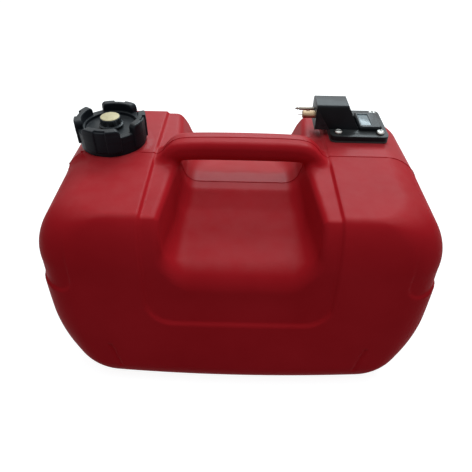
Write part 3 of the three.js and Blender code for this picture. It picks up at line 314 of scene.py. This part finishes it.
def with_painted_sheen(material, level, amount, rear_gain, coat_roughness):
    """Set a plastic's own mirror level and lay over it the clear coat that paints a sheen on its tops."""
    tree = material.node_tree
    shader = tree.nodes["Principled BSDF"]
    shader.inputs["Specular IOR Level"].default_value = level
    shader.inputs["Coat Roughness"].default_value = coat_roughness
    top = node(tree, "ShaderNodeGroup", node_tree=painted_sheen, Amount=amount, Rear_Gain=rear_gain)
    feed(tree, top.outputs["Weight"], shader.inputs["Coat Weight"])


print("effects ready for the finishes:", [group.name for group in bpy.data.node_groups])

# %% [markdown]
# The tank is red polyethylene, waxy and soft-looking, with almost no mirror of its own, so its sheen comes
# from the coat alone. The cap, the knob and the outlet unit are harder black mouldings. The cap is a shade
# lighter than the rest in the photograph, so it has a black of its own.

# %% Finishes of the outer plastics
red = finish("red_polyethylene", (0.385, 0.010, 0.015), (0.43, 0.013, 0.019), 0.42, 0.08, mottle_scale=14,
             grain_scale=420, grain_depth=0.06, wear_colour=(0.55, 0.05, 0.07), wear_amount=0.5,
             dust_amount=0.05)
black = finish("black_moulding", (0.004, 0.005, 0.006), (0.008, 0.009, 0.011), 0.36, 0.1, mottle_scale=40,
               grain_scale=1400, grain_depth=0.05, wear_colour=(0.10, 0.11, 0.12), wear_amount=0.6,
               dust_amount=0.08)
cap_black = finish("cap_moulding_black", (0.0065, 0.008, 0.0105), (0.011, 0.013, 0.017), 0.4, 0.1,
                   mottle_scale=40, grain_scale=1400, grain_depth=0.05, wear_colour=(0.11, 0.12, 0.135),
                   wear_amount=0.7, dust_amount=0.08)
# Painted sheen: how strongly the coat makes each plastic's tops mirror the sky.
with_painted_sheen(red, level=0.01, amount=0.12, rear_gain=1.1, coat_roughness=0.36)
with_painted_sheen(black, level=0.08, amount=0.2, rear_gain=0.0, coat_roughness=0.3)
with_painted_sheen(cap_black, level=0.08, amount=0.14, rear_gain=0.0, coat_roughness=0.3)
print("outer plastics:", red.name, black.name, cap_black.name)

# %% [markdown]
# The metals are small and bright. The nipple is turned brass and the guide pin a duller one, the vent's
# disc is a pale straw colour that is barely metal any more, and the screws are plated steel.

# %% Finishes of the metals
brass = finish("turned_brass", (0.27, 0.185, 0.115), (0.36, 0.25, 0.16), 0.32, 0.14, metallic=1.0,
               mottle_scale=160, grain_scale=2400, wear_colour=(0.66, 0.54, 0.34), dust_amount=0.03)
dull_brass = finish("dull_brass", (0.20, 0.165, 0.14), (0.27, 0.225, 0.19), 0.36, 0.12, metallic=1.0,
                    mottle_scale=160, grain_scale=2400, wear_colour=(0.42, 0.37, 0.32), dust_amount=0.03)
pale_brass = finish("pale_brass", (0.44, 0.37, 0.20), (0.54, 0.46, 0.27), 0.42, 0.12, metallic=0.3,
                    mottle_scale=220, grain_scale=2400, dust_amount=0.02)
steel = finish("plated_steel", (0.40, 0.39, 0.37), (0.50, 0.49, 0.47), 0.26, 0.14, metallic=1.0,
               mottle_scale=240, grain_scale=2600, wear_colour=(0.82, 0.81, 0.79), dust_amount=0.03)
print("metals:", brass.name, dull_brass.name, pale_brass.name, steel.name)

# %% [markdown]
# The rest is rubber for the seals, white plastic and foam for the gauge inside, and the gauge's window.
# The window is clear, but its grey-blue colour is a painted reflection of the sky over a dark pocket, as it
# looks from above, and only a part of its light goes through.

# %% Finishes of the rest
rubber = finish("black_rubber", (0.012, 0.012, 0.013), (0.022, 0.022, 0.022), 0.72, 0.12, mottle_scale=60,
                grain_scale=1600, grain_depth=0.08)
white_plastic = finish("white_moulding", (0.66, 0.66, 0.64), (0.70, 0.70, 0.68), 0.38, 0.1,
                       mottle_scale=50, grain_scale=1400)
foam = finish("float_foam", (0.02, 0.021, 0.023), (0.04, 0.041, 0.043), 0.8, 0.12, mottle_scale=60,
              grain_scale=700, grain_depth=0.4)
# Painted reflection: the window's grey-blue colour stands in for the sky mirrored over the dark pocket.
clear = finish("window_painted_sky", (0.19, 0.25, 0.275), (0.21, 0.27, 0.295), 0.14, 0.05, mottle_scale=90,
               grain_scale=1800, grain_depth=0.01, dust_amount=0.04)
window_shader = clear.node_tree.nodes["Principled BSDF"]
window_shader.inputs["Transmission Weight"].default_value = 0.35
window_shader.inputs["IOR"].default_value = 1.49
print("finishes:", len(bpy.data.materials))

# %% [markdown]
# A blow-moulded tank has no sharp edge anywhere: the plastic draws into soft hollows and swells round
# every corner. Bevels on a cut mesh can't follow such blends, so the skin is written as a field, a number
# that is negative inside and positive outside. Fields are cut and joined with a round of any size.


# %% Fields that join and cut with rounds
def round_cut(a, b, radius):
    """What lies in both fields, with its edge rounded."""
    outside = np.hypot(np.maximum(a + radius, 0), np.maximum(b + radius, 0))
    return np.minimum(np.maximum(a, b), -radius) + outside


def round_join(a, b, radius):
    """What lies in either field, with a hollow fillet between them."""
    inside = np.hypot(np.maximum(radius - a, 0), np.maximum(radius - b, 0))
    return np.maximum(np.minimum(a, b), radius) - inside


def round_corner(a, b, radius):
    """A corner of two lines, both negative inside, rounded to a radius."""
    beyond = np.hypot(np.maximum(a + radius, 0), np.maximum(b + radius, 0))
    return beyond + np.minimum(np.maximum(a, b) + radius, 0) - radius


def between(value, low, high):
    """What lies between two levels."""
    return np.maximum(low - value, value - high)


def soft_step(t):
    """A step from 0 to 1 that starts and ends level."""
    t = np.clip(t, 0, 1)
    return t * t * (3 - 2 * t)


print("a square corner rounded by 10 mm draws back by", round(float(round_cut(0, 0, 10)), 2))

# %% [markdown]
# A field becomes a mesh on a grid of cells. Each cell that the surface crosses gets one point, and each
# grid edge that it crosses gets a quad through the four cells round it. The points then slide down the
# field's slope until they lie on the surface, so even a coarse grid gives a true skin.

# %% Mesh of a field
CELL_CORNERS = np.array([(i >> 2 & 1, i >> 1 & 1, i & 1) for i in range(8)])
CELL_EDGES = [(0, 1), (2, 3), (4, 5), (6, 7), (0, 2), (1, 3), (4, 6), (5, 7), (0, 4), (1, 5), (2, 6), (3, 7)]
LEAST_SLOPE = 0.05


def crossed_cells(inside):
    """The cells of a grid that have corners on both sides of the surface."""
    size = [n - 1 for n in inside.shape]
    count = np.zeros(size, np.int8)
    for i, j, k in CELL_CORNERS:
        count += inside[i:i + size[0], j:j + size[1], k:k + size[2]]
    return (count > 0) & (count < 8)


def cell_points(values, cells):
    """The middle of the places where the surface cuts a cell's edges, counted in cells."""
    at = [values[tuple((cells + corner).T)] for corner in CELL_CORNERS]
    total, hits = np.zeros(cells.shape), np.zeros(len(cells))
    for a, b in CELL_EDGES:
        cut = (at[a] < 0) != (at[b] < 0)
        share = np.where(cut, at[a] / np.where(cut, at[a] - at[b], 1), 0)
        reached = CELL_CORNERS[a] + share[:, None] * (CELL_CORNERS[b] - CELL_CORNERS[a])
        total += np.where(cut[:, None], reached, 0)
        hits += cut
    return cells + total / hits[:, None]


def settled_points(field, points, step):
    """Moves each point along the field's slope until it lies on the surface."""
    reach = step / 4
    value = field(*points.T)
    slope = []
    for axis in range(3):
        shift = np.zeros(3)
        shift[axis] = reach
        slope.append((field(*(points + shift).T) - field(*(points - shift).T)) / (2 * reach))
    slope = np.stack(slope, 1)
    move = (value / np.maximum((slope**2).sum(1), LEAST_SLOPE))[:, None] * slope
    return points - np.clip(move, -step / 2, step / 2)


def joined_quads(inside, number):
    """A quad for each grid edge that the surface crosses, through the points of the four cells round it."""
    units = np.eye(3, dtype=int)
    quads = []
    for axis in range(3):
        u, v = units[(axis + 1) % 3], units[(axis + 2) % 3]
        others = [a for a in range(3) if a != axis]
        first, second = np.moveaxis(inside, axis, 0)[:-1], np.moveaxis(inside, axis, 0)[1:]
        for outward in (True, False):
            found = np.argwhere((first & ~second) if outward else (~first & second))
            grid = np.zeros_like(found)
            grid[:, axis], grid[:, others[0]], grid[:, others[1]] = found.T
            ring = [grid - u - v, grid - v, grid, grid - u]
            sides = np.stack([number[tuple(cell.T)] for cell in ring], 1)
            quads.append(sides if outward else sides[:, ::-1])
    return np.concatenate(quads)


def skin_of(field, low, high, step):
    """Points and quads of the surface where a field is zero, one point in each cell that it crosses."""
    axes = [np.arange(a, b + step, step) for a, b in zip(low, high)]
    x, y, z = np.meshgrid(*axes, indexing="ij", sparse=True)
    values = np.broadcast_to(field(x, y, z), [len(axis) for axis in axes])
    inside = values < 0
    crossed = crossed_cells(inside)
    cells = np.argwhere(crossed)
    points = np.array(low) + step * cell_points(values, cells)
    for _ in range(2):
        points = settled_points(field, points, step)
    number = np.full(crossed.shape, -1, np.int64)
    number[crossed] = np.arange(len(cells))
    return points, joined_quads(inside, number)


ball_points, ball_quads = skin_of(lambda x, y, z: np.sqrt(x**2 + y**2 + z**2) - 5, (-6, -6, -6), (6, 6, 6), 1)
print("a ball of radius 5 as a trial:", len(ball_quads), "quads, mean radius",
      round(float(np.linalg.norm(ball_points, axis=1).mean()), 3))

# %% [markdown]
# The body is a soft block. Its ends and its long faces are rounded over by different amounts, the faces
# lean in and bow out a little at the foot, and the tops fall to both faces from the middle, where the two
# halves of the mould met. Each of these is a line or two of the field, with its sizes named above it.

# %% The body
HEIGHT, HALF_LENGTH, HALF_DEPTH, LEAN = 215, 197.8, 145.5, 26.4
PLAN_ROUND, WALL = 36, 3.2
END_FOOT, END_TOP, FACE_FOOT, FACE_TOP = (61, 98), (47, 53), (35.5, 35.5), (20, 54)
LEAST_RUN = 0.12
TOP_FALL, TOP_FALL_FROM, TOP_FALL_OVER = 0.026, 120, 94
BOW, BOW_MEAN, BOW_REACH, BOW_UP_TO, BOW_FADE = 7, 3.3, 175, 130, 90


def drawn_in(edge, distance):
    """How far a rounded edge has drawn in at a distance from its end, and how steeply.

    The edge is given by how far it draws in altogether and over what height.
    """
    radius, rise = edge
    left = np.clip(1 - distance / rise, 0, 1)
    run = np.sqrt(1 - left**2)
    return radius * (1 - run), radius / rise * left / np.maximum(run, LEAST_RUN)


def body_field(x, y, z, inset=0.0):
    """The tank before the saddle is cut, shrunk by an inset. Its top falls to both faces from the seam."""
    z = z + TOP_FALL * np.abs(y) * soft_step((z - TOP_FALL_FROM) / TOP_FALL_OVER)
    end_low, end_low_slope = drawn_in(END_FOOT, z)
    end_high, end_high_slope = drawn_in(END_TOP, HEIGHT - z)
    face_low, face_low_slope = drawn_in(FACE_FOOT, z)
    face_high, face_high_slope = drawn_in(FACE_TOP, HEIGHT - z)
    half_x = HALF_LENGTH - end_low - end_high
    bow = soft_step((BOW_UP_TO - z) / BOW_FADE) * (BOW * np.clip(1 - (x / BOW_REACH) ** 2, 0, 1) - BOW_MEAN)
    half_y = HALF_DEPTH + bow - LEAN * z / HEIGHT - face_low - face_high
    a, b = np.abs(x) - half_x + PLAN_ROUND, np.abs(y) - half_y + PLAN_ROUND
    beyond_a, beyond_b = np.maximum(a, 0), np.maximum(b, 0)
    beyond = np.hypot(beyond_a, beyond_b)
    plan = beyond + np.minimum(np.maximum(a, b), 0) - PLAN_ROUND
    share = np.where(beyond > 0, beyond_a / np.maximum(beyond, 1e-6), (a > b) * 1.0)
    other = np.where(beyond > 0, beyond_b / np.maximum(beyond, 1e-6), (a <= b) * 1.0)
    rise = share * (end_high_slope - end_low_slope) + other * (face_high_slope - face_low_slope + LEAN / HEIGHT)
    side = plan / np.sqrt(1 + rise**2)
    ends = np.maximum(z - HEIGHT, -z)
    return np.where(ends > 0, np.hypot(np.maximum(side, 0), ends), np.maximum(side, ends)) + inset


print("field at the body's middle:", round(float(body_field(0.0, 0.0, HEIGHT / 2)), 1), "so it lies inside")

# %% [markdown]
# Shallow panels stiffen the long faces: the middle of each is set back inside a U-shaped frame, a grip
# panel at each end fades upwards, and a short pinch line marks each lower corner. They are only a few
# millimetres deep, so they are added to the body's field as a depth instead of being cut.

# %% The panels
FRAME_HALF, FRAME_FOOT, FRAME_ROUND, FRAME_DEPTH, FRAME_EDGE = 92, 97, 26, 3, 3.4
GRIP_FROM, GRIP_BASE, GRIP_ROUND, GRIP_DEPTH, GRIP_EDGE = 161, 136, 14, 2.2, 3
GRIP_TOP, GRIP_FADE = 198, 1.5
PINCH_START, PINCH_END = np.array([135.0, 62.0]), np.array([128.0, 31.0])
PINCH_DEPTH, PINCH_WIDTH = 2, 1.8


def pinch_distance(across, z):
    """Distance from the short pinch line that the mould leaves at each lower corner of the faces."""
    line = PINCH_END - PINCH_START
    from_x, from_z = across - PINCH_START[0], z - PINCH_START[1]
    share = np.clip((from_x * line[0] + from_z * line[1]) / (line @ line), 0, 1)
    return np.hypot(from_x - share * line[0], from_z - share * line[1])


def panel_depth(x, z):
    """How deep the U panel and the grip panels on the ends are set into the skin."""
    across = np.abs(x)
    inner = round_corner(across - FRAME_HALF, FRAME_FOOT - z, FRAME_ROUND)
    outer = round_corner(GRIP_FROM - across, GRIP_BASE - z, GRIP_ROUND)
    fade = GRIP_DEPTH * np.clip(GRIP_FADE * (GRIP_TOP - z) / (GRIP_TOP - GRIP_BASE), 0, 1)
    set_back = FRAME_DEPTH * soft_step(0.5 - inner / FRAME_EDGE)
    groove = PINCH_DEPTH * np.exp(-((pinch_distance(across, z) / PINCH_WIDTH) ** 2))
    return set_back + fade * soft_step(0.5 - outer / GRIP_EDGE) + groove


print("panel depth in mm at mid-face:", round(float(panel_depth(0.0, 150.0)), 1))

# %% [markdown]
# The saddle under the handle opens into a scoop on each face, room for the hand. The front scoop is deep
# and wide and runs out over a lip, the back one is shallower and narrower. Four tracks say how the
# channel changes from front to back: its floor, its half width at the foot and at the rim, and the round
# between floor and wall. Their breaks are softened, as stretched plastic softens them.

# %% The saddle and the scoops
TRACK_REACH, TRACK_STEP = 170, 0.5
along = np.arange(-TRACK_REACH, TRACK_REACH + TRACK_STEP, TRACK_STEP)


def softened_track(stations, values, width):
    """A track along the depth of the tank, with its breaks softened over a width."""
    track = np.interp(along, stations, values)
    reach = round(width / TRACK_STEP)
    blur = np.hanning(2 * reach + 1) / np.hanning(2 * reach + 1).sum()
    padded = np.concatenate([np.full(reach, track[0]), track, np.full(reach, track[-1])])
    return np.convolve(padded, blur, "valid")


floor_track = softened_track([-112, -103, -85, -60, -38, -15, 20, 62, 103, 128],
                             [157.5, 158.3, 160, 163, 168.5, 179.5, 179.5, 170.5, 162, 159.5], 7)
foot_track = softened_track([-103, -60, -38, -14, 14, 62], [71, 66, 64, 59, 59, 56], 10)
rim_track = softened_track([-103, -27, 27, 60, 103, 128], [76, 69.5, 69.5, 72, 77, 78], 10)
corner_track = softened_track([-103, -60, -20, 20, 60], [20, 14, 12, 12, 22], 10)


def channel_field(x, y, z):
    """The saddle and the two scoops, as the space that they leave free."""
    tracks = (floor_track, foot_track, rim_track, corner_track)
    ground, foot, rim, corner = (np.interp(y, along, track) for track in tracks)
    fall = np.interp(y, along, np.gradient(floor_track, along))
    slope = np.arctan2(rim - foot, HEIGHT - ground)
    wall_side = (np.abs(x) - foot - (z - ground) * np.tan(slope)) * np.cos(slope)
    return round_cut(wall_side, (ground - z) / np.sqrt(1 + fall**2), corner)


def rim_round(x, z):
    """The round where the saddle and the scoops meet the body: small on the rims, wide on the lips."""
    lip = 13 * soft_step((78 - np.abs(x)) / 32) * soft_step((200 - z) / 20)
    low = 3 * soft_step((190 - z) / 30)
    return 6.5 + lip + low


print("saddle floor in mm, from front to back:", [round(float(h)) for h in floor_track[::170]])

# %% [markdown]
# The handle is hollow and grows out of both shoulders: it runs level over the saddle and then bends down
# into them, rounder below than above, where the hand closes round it. Each bend is one smooth curve,
# because a blown tube never folds sharply.

# %% The handle
HANDLE_TOP, HANDLE_UNDER, HANDLE_HALF, HANDLE_REACH = 235.3, 211, 15, 95
TOP_BEND, UNDER_BEND = (73, 1.4, 9), (68, 1.0, 7)
TOP_EDGE, UNDER_EDGE = 7, 13


def bent_down(across, bend):
    """How far a line has dropped at a place, and how steeply it falls there.

    The bend is given by where it starts, the slope that it ends in and its softness.
    """
    start, slope, soft = bend
    past = across - start
    run = np.sqrt(past**2 + soft**2)
    return slope * 0.5 * (past + run), slope * 0.5 * (1 + past / run)


def handle_field(x, y, z, inset=0.0):
    """The carry handle: level over the saddle, then bent down into the shoulders."""
    across, side = np.abs(x), np.abs(y) - HANDLE_HALF
    top_drop, top_slope = bent_down(across, TOP_BEND)
    under_drop, under_slope = bent_down(across, UNDER_BEND)
    top = (z - HANDLE_TOP + top_drop) / np.sqrt(1 + top_slope**2)
    under = (HANDLE_UNDER - under_drop - z) / np.sqrt(1 + under_slope**2)
    tall = np.maximum(round_cut(top, side, TOP_EDGE), round_cut(under, side, UNDER_EDGE))
    return np.maximum(tall, across - HANDLE_REACH) + inset


print("handle thickness in mm:", round(HANDLE_TOP - HANDLE_UNDER, 1))

# %% [markdown]
# Now the pieces of form come together: the body with its panels, less the channel, joined to the handle,
# the low cone round the filler neck and the flat land under the outlet unit. A second skin one wall
# further in makes the tank hollow, and both are left open at the neck and under the unit.

# %% The tank's skin
NECK_X, NECK_Y, NECK_BORE, NECK_RADIUS = -140, 21, 25.4, 29
UNIT_X, UNIT_Y, UNIT_HOLE = 129.5, 60.5, 25
CONE_RADIUS, CONE_FOOT, CONE_TOP, CONE_ROUND = 44, 206, 215.4, 2
CONE_RUN, CONE_RISE, CONE_SLANT = 9, 8, 12.04
LAND_HALF, LAND_CORNER, LAND_TOP = 31, 6, 214.4
ADDED_FROM, OPEN_FROM = 200, 195


def tank_field(x, y, z):
    """The outer skin of the whole tank."""
    body = body_field(x, y, z)
    skin = round_cut(body + panel_depth(x, z), -channel_field(x, y, z), rim_round(x, z))
    skin = round_join(skin, handle_field(x, y, z), 7)
    radius = np.hypot(x - NECK_X, y - NECK_Y)
    slant = ((radius - CONE_RADIUS) * CONE_RUN + (z - CONE_FOOT) * CONE_RISE) / CONE_SLANT
    cone = round_cut(np.maximum(slant, body - 1.2), z - CONE_TOP, CONE_ROUND)
    skin = round_join(skin, np.maximum(cone, ADDED_FROM - z), 5)
    land = round_corner(np.abs(x - UNIT_X) - LAND_HALF, np.abs(y - UNIT_Y) - LAND_HALF, LAND_CORNER)
    land = np.maximum(round_cut(land, z - LAND_TOP, 1), ADDED_FROM - z)
    return round_join(skin, land, 3)


def cavity_field(x, y, z):
    """The space inside, one wall in from the skin."""
    hollow = round_cut(body_field(x, y, z, WALL) + panel_depth(x, z), WALL - channel_field(x, y, z),
                       np.maximum(rim_round(x, z) - WALL, 1))
    return np.minimum(hollow, handle_field(x, y, z, WALL))


def opened(points, quads):
    """Leaves out the quads over the neck's bore and over the outlet unit's hole."""
    centre = points[quads].mean(1)
    high = centre[:, 2] > OPEN_FROM
    neck_hole = np.hypot(centre[:, 0] - NECK_X, centre[:, 1] - NECK_Y) < NECK_BORE + 1.2
    unit_hole = np.hypot(centre[:, 0] - UNIT_X, centre[:, 1] - UNIT_Y) < UNIT_HOLE
    return quads[~(high & (neck_hole | unit_hole))]


SKIN_STEP = 1.8
CAVITY_STEP = 4
SKIN_LOW, SKIN_HIGH = (-206, -148, -6), (206, 148, 242)
outer_points, outer_quads = skin_of(tank_field, SKIN_LOW, SKIN_HIGH, SKIN_STEP)
inner_points, inner_quads = skin_of(cavity_field, SKIN_LOW, SKIN_HIGH, CAVITY_STEP)
outer_quads = opened(outer_points, outer_quads)
inner_quads = opened(inner_points, inner_quads)[:, ::-1] + len(outer_points)
tank = made_mesh("tank_skin", np.concatenate([outer_points, inner_points]),
                 np.concatenate([outer_quads, inner_quads]).tolist())
tank.data.shade_smooth()
tank.data.materials.append(red)
print("tank skin:", len(outer_quads), "outer and", len(inner_quads), "inner quads")

# %% [markdown]
# Where the two halves of the mould met, a little plastic was pressed out. It stands as a fine raised line
# all round the middle of the tank, over the shoulders, the handle and the floor of the saddle. The skin's
# cells are too coarse for it, so it is a field of its own: the skin grown by the line's height and kept
# only near the middle plane.

# %% The parting line
BEAD_HIGH, BEAD_HALF, BEAD_ROUND, BEAD_SUNK, BEAD_STEP = 0.5, 0.8, 0.4, 1.2, 0.5
CAP_CLEAR, BASE_CLEAR = 35.5, 3


def seam_field(x, y, z):
    """A bead along the middle of the skin, left out under the cap and on the base."""
    skin = tank_field(x, y, z)
    bead = round_cut(skin - BEAD_HIGH, np.abs(y) - BEAD_HALF, BEAD_ROUND)
    left_out = np.maximum(CAP_CLEAR - np.hypot(x - NECK_X, y - NECK_Y), BASE_CLEAR - z)
    return np.maximum(np.maximum(bead, -BEAD_SUNK - skin), left_out)


seam_points, seam_quads = skin_of(seam_field, (-200, -1.5, 1), (200, 1.5, 238), BEAD_STEP)
seam = made_mesh("parting_line", seam_points, seam_quads.tolist())
seam.data.shade_smooth()
seam.data.materials.append(red)
print("parting line quads:", len(seam_quads))

# %% [markdown]
# The neck under the cap is a separate fine piece, because its thread is thinner than the cells of the
# skin. It is one turned profile with a helical ridge wound round it.

# %% The neck and its thread
NECK_FOOT, NECK_TOP, NECK_BREAK, NECK_STEPS = 205, 226.4, 0.8, 96
THREAD_PITCH, THREAD_TURNS, THREAD_TOP, THREAD_STEPS = 5, 1.45, 223.85, 90


def turned(name, profile, steps, centre):
    """A profile of radius and height pairs, closed on itself, turned about an upright axis."""
    angles = np.arange(steps) * 2 * np.pi / steps
    points = [(centre[0] + r * np.cos(a), centre[1] + r * np.sin(a), h) for a in angles for r, h in profile]
    count = len(profile)
    faces = []
    for i in range(steps):
        for j in range(count):
            k, after = (j + 1) % count, (i + 1) % steps
            faces.append((i * count + j, after * count + j, after * count + k, i * count + k))
    return made_mesh(name, points, faces)


neck_profile = [(NECK_BORE, NECK_FOOT), (NECK_RADIUS, NECK_FOOT), (NECK_RADIUS, NECK_TOP - 1),
                (NECK_RADIUS - NECK_BREAK, NECK_TOP), (NECK_BORE + NECK_BREAK, NECK_TOP),
                (NECK_BORE, NECK_TOP - NECK_BREAK)]
neck = turned("neck_ring", neck_profile, NECK_STEPS, (NECK_X, NECK_Y))

ridge = [(28.4, -0.95), (29, -0.95), (30.6, -0.5), (30.6, 0.5), (29, 0.95), (28.4, 0.95)]
wide = len(ridge)
points = []
for turns in np.linspace(0, THREAD_TURNS, THREAD_STEPS):
    angle = turns * 2 * np.pi
    height = THREAD_TOP - (THREAD_TURNS - turns) * THREAD_PITCH
    points += [(NECK_X + r * np.cos(angle), NECK_Y + r * np.sin(angle), height + dz) for r, dz in ridge]
faces = [(i * wide + j, (i + 1) * wide + j, (i + 1) * wide + (j + 1) % wide, i * wide + (j + 1) % wide)
         for i in range(THREAD_STEPS - 1) for j in range(wide)]
faces += [tuple(range(wide)), tuple(range(len(points) - 1, len(points) - 1 - wide, -1))]
thread = made_mesh("neck_thread", points, faces)
for piece in (neck, thread):
    piece.data.materials.append(red)
    piece.data.shade_smooth()
    piece.data.set_sharp_from_angle(angle=math.radians(40))
for piece in (tank, seam, neck, thread):
    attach(piece, "tank")
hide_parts("tank_shell")
print("neck points:", len(neck.data.vertices), "thread points:", len(thread.data.vertices))

# %% [markdown]
# The cap is one moulding: a skirt, a dish in the top, and four grip lobes with a flat channel down each
# middle. It is a field too, written round its own axis, because each lobe ends in a generous round.

# %% The filler cap
CAP_RADIUS, CAP_BORE, CAP_FOOT, SILL_RADIUS, SILL_TOP = 34.6, 31.2, 216, 27, 236.5
DISH_RADIUS, DISH_UNDER, DISH_TOP = 34.2, 229, 233
LOBE_TURN, LOBE_PITCH, LOBE_HALF, LOBE_RADIUS, LOBE_TOP = 85, 90, 33, 37, 245.6
CROWN_INSIDE, BAND_INSIDE, BAND_FOOT, BAND_TOP = 29, 33, 221, 240
CHANNEL_HALF, CHANNEL_INSIDE, NOTCH_INSIDE, NOTCH_FROM = 9.5, 35.8, 33.8, 243.8


def cap_field(x, y, z):
    """The cap in its own rounds: skirt, floor, sill, lobes, channels and notches."""
    dx, dy = x - NECK_X, y - NECK_Y
    radius = np.hypot(dx, dy)
    angle = np.degrees(np.arctan2(dy, dx))
    lobe = np.abs((angle - LOBE_TURN + LOBE_PITCH / 2) % LOBE_PITCH - LOBE_PITCH / 2)
    skirt = round_cut(between(radius, CAP_BORE, CAP_RADIUS), between(z, CAP_FOOT, SILL_TOP), 0.6)
    plate = np.maximum(radius - DISH_RADIUS, between(z, DISH_UNDER, DISH_TOP))
    sill = np.maximum(between(radius, SILL_RADIUS, CAP_RADIUS), between(z, DISH_UNDER, SILL_TOP))
    cap = round_join(np.minimum(skirt, plate), sill, 0.8)
    ends = round_cut(np.radians(lobe - LOBE_HALF) * radius, z - LOBE_TOP, 4.5)
    crown = round_cut(ends, round_cut(radius - LOBE_RADIUS, CROWN_INSIDE - radius, 1.3), 1.2)
    band = round_cut(ends, between(radius, BAND_INSIDE, LOBE_RADIUS), 1.2)
    cap = round_join(cap, np.maximum(crown, DISH_TOP - z), 0.8)
    cap = round_join(cap, np.maximum(round_cut(band, BAND_FOOT - z, 0.9), z - BAND_TOP), 0.5)
    channel_side = np.radians(lobe - CHANNEL_HALF) * radius
    channel = np.maximum(channel_side, CHANNEL_INSIDE - radius)
    notch = np.maximum(np.maximum(channel_side, NOTCH_INSIDE - radius), NOTCH_FROM - z)
    return round_cut(round_cut(cap, -channel, 0.35), -notch, 0.35)


CAP_STEP = 0.7
CAP_REACH = 39
cap_points, cap_quads = skin_of(cap_field, (NECK_X - CAP_REACH, NECK_Y - CAP_REACH, 214),
                                (NECK_X + CAP_REACH, NECK_Y + CAP_REACH, 248), CAP_STEP)
cap = made_mesh("cap_moulding", cap_points, cap_quads.tolist())
cap.data.shade_smooth()
cap.data.materials.append(cap_black)
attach(cap, "cap")
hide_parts("cap_body")
print("cap quads:", len(cap_quads))

# %% [markdown]
# The small hard pieces already have their true shape in the CAD model. Each gets a welded copy with its
# sharp edges rounded by a bevel, because it is the thin bright line along an edge that makes a small
# piece look moulded or turned rather than drawn.

# %% Rounded copies of the small pieces
WELD_MM = 0.002
FLAT_ANGLE, SHARP_ANGLE = math.radians(1), math.radians(34)


def rounded_copy(part, body, width, material, segments=3):
    """A copy of a CAD piece with welded corners and bevelled edges, which stands for the piece."""
    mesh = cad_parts[part].data.copy()
    mesh.materials.clear()
    work = bmesh.new()
    work.from_mesh(mesh)
    bmesh.ops.remove_doubles(work, verts=work.verts, dist=WELD_MM * MM)
    bmesh.ops.dissolve_limit(work, angle_limit=FLAT_ANGLE, verts=work.verts, edges=work.edges)
    work.to_mesh(mesh)
    work.free()
    piece = bpy.data.objects.new(part + "_fine", mesh)
    bpy.context.scene.collection.objects.link(piece)
    bevel = piece.modifiers.new("edge_round", "BEVEL")
    bevel.width = width * MM
    bevel.segments = segments
    bevel.limit_method = "ANGLE"
    bevel.angle_limit = SHARP_ANGLE
    bpy.context.view_layer.update()
    final = bpy.data.meshes.new_from_object(piece.evaluated_get(bpy.context.evaluated_depsgraph_get()))
    piece.modifiers.clear()
    piece.data = final
    final.materials.clear()
    final.materials.append(material)
    final.shade_smooth()
    final.set_sharp_from_angle(angle=SHARP_ANGLE)
    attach(piece, body)
    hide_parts(part)
    return piece


small = [
    ("vent_knob", "vent", 0.25, black, "plastic_black"),
    ("vent_disc", "vent", 0.2, pale_brass, "brass_pale"),
    ("sender_gasket", "tank", 0.3, rubber, "rubber_black"),
    ("sender_housing", "tank", 0.7, black, "plastic_black"),
    ("gauge_window", "tank", 0.25, clear, "window_clear"),
    ("fuel_nipple", "tank", 0.2, brass, "brass"),
    ("guide_pin", "tank", 0.15, dull_brass, "brass"),
    ("check_plunger", "check_valve", 0.08, steel, "steel"),
]
small += [(f"sender_screw_{i}", "tank", 0.25, steel, "steel") for i in range(1, 5)]
for part, body, width, material, slot in small:
    piece = rounded_copy(part, body, width, material)
    print(piece.name, len(piece.data.polygons), "faces")

# %% [markdown]
# The inner pieces are hidden in the closed tank. They keep their CAD shapes and only get their finishes.

# %% Finishes for the inner pieces
inner = {
    "cap_seal": rubber, "vent_washer": rubber, "vent_stem": brass, "sender_bracket": steel,
    "bracket_screw_1": steel, "bracket_screw_2": steel, "indicator_axle": steel, "float_pivot_pin": steel,
    "indicator_drum": white_plastic, "float_arm": white_plastic, "float_body": foam,
    "pickup_tube": white_plastic, "pickup_strainer": white_plastic,
}
for part, material in inner.items():
    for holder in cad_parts[part].material_slots:
        holder.material = material
print("inner pieces:", len(inner))

# %% [markdown]
# The spring behind the check valve's plunger is the one piece that changes its length in use, as the plunger
# travels 3 mm towards the block, where the spring's far end rests. Here it gets a rounded copy of its own.

# %% The check valve's spring
spring = rounded_copy("check_spring", "tank", 0.03, steel, segments=1)
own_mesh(spring)
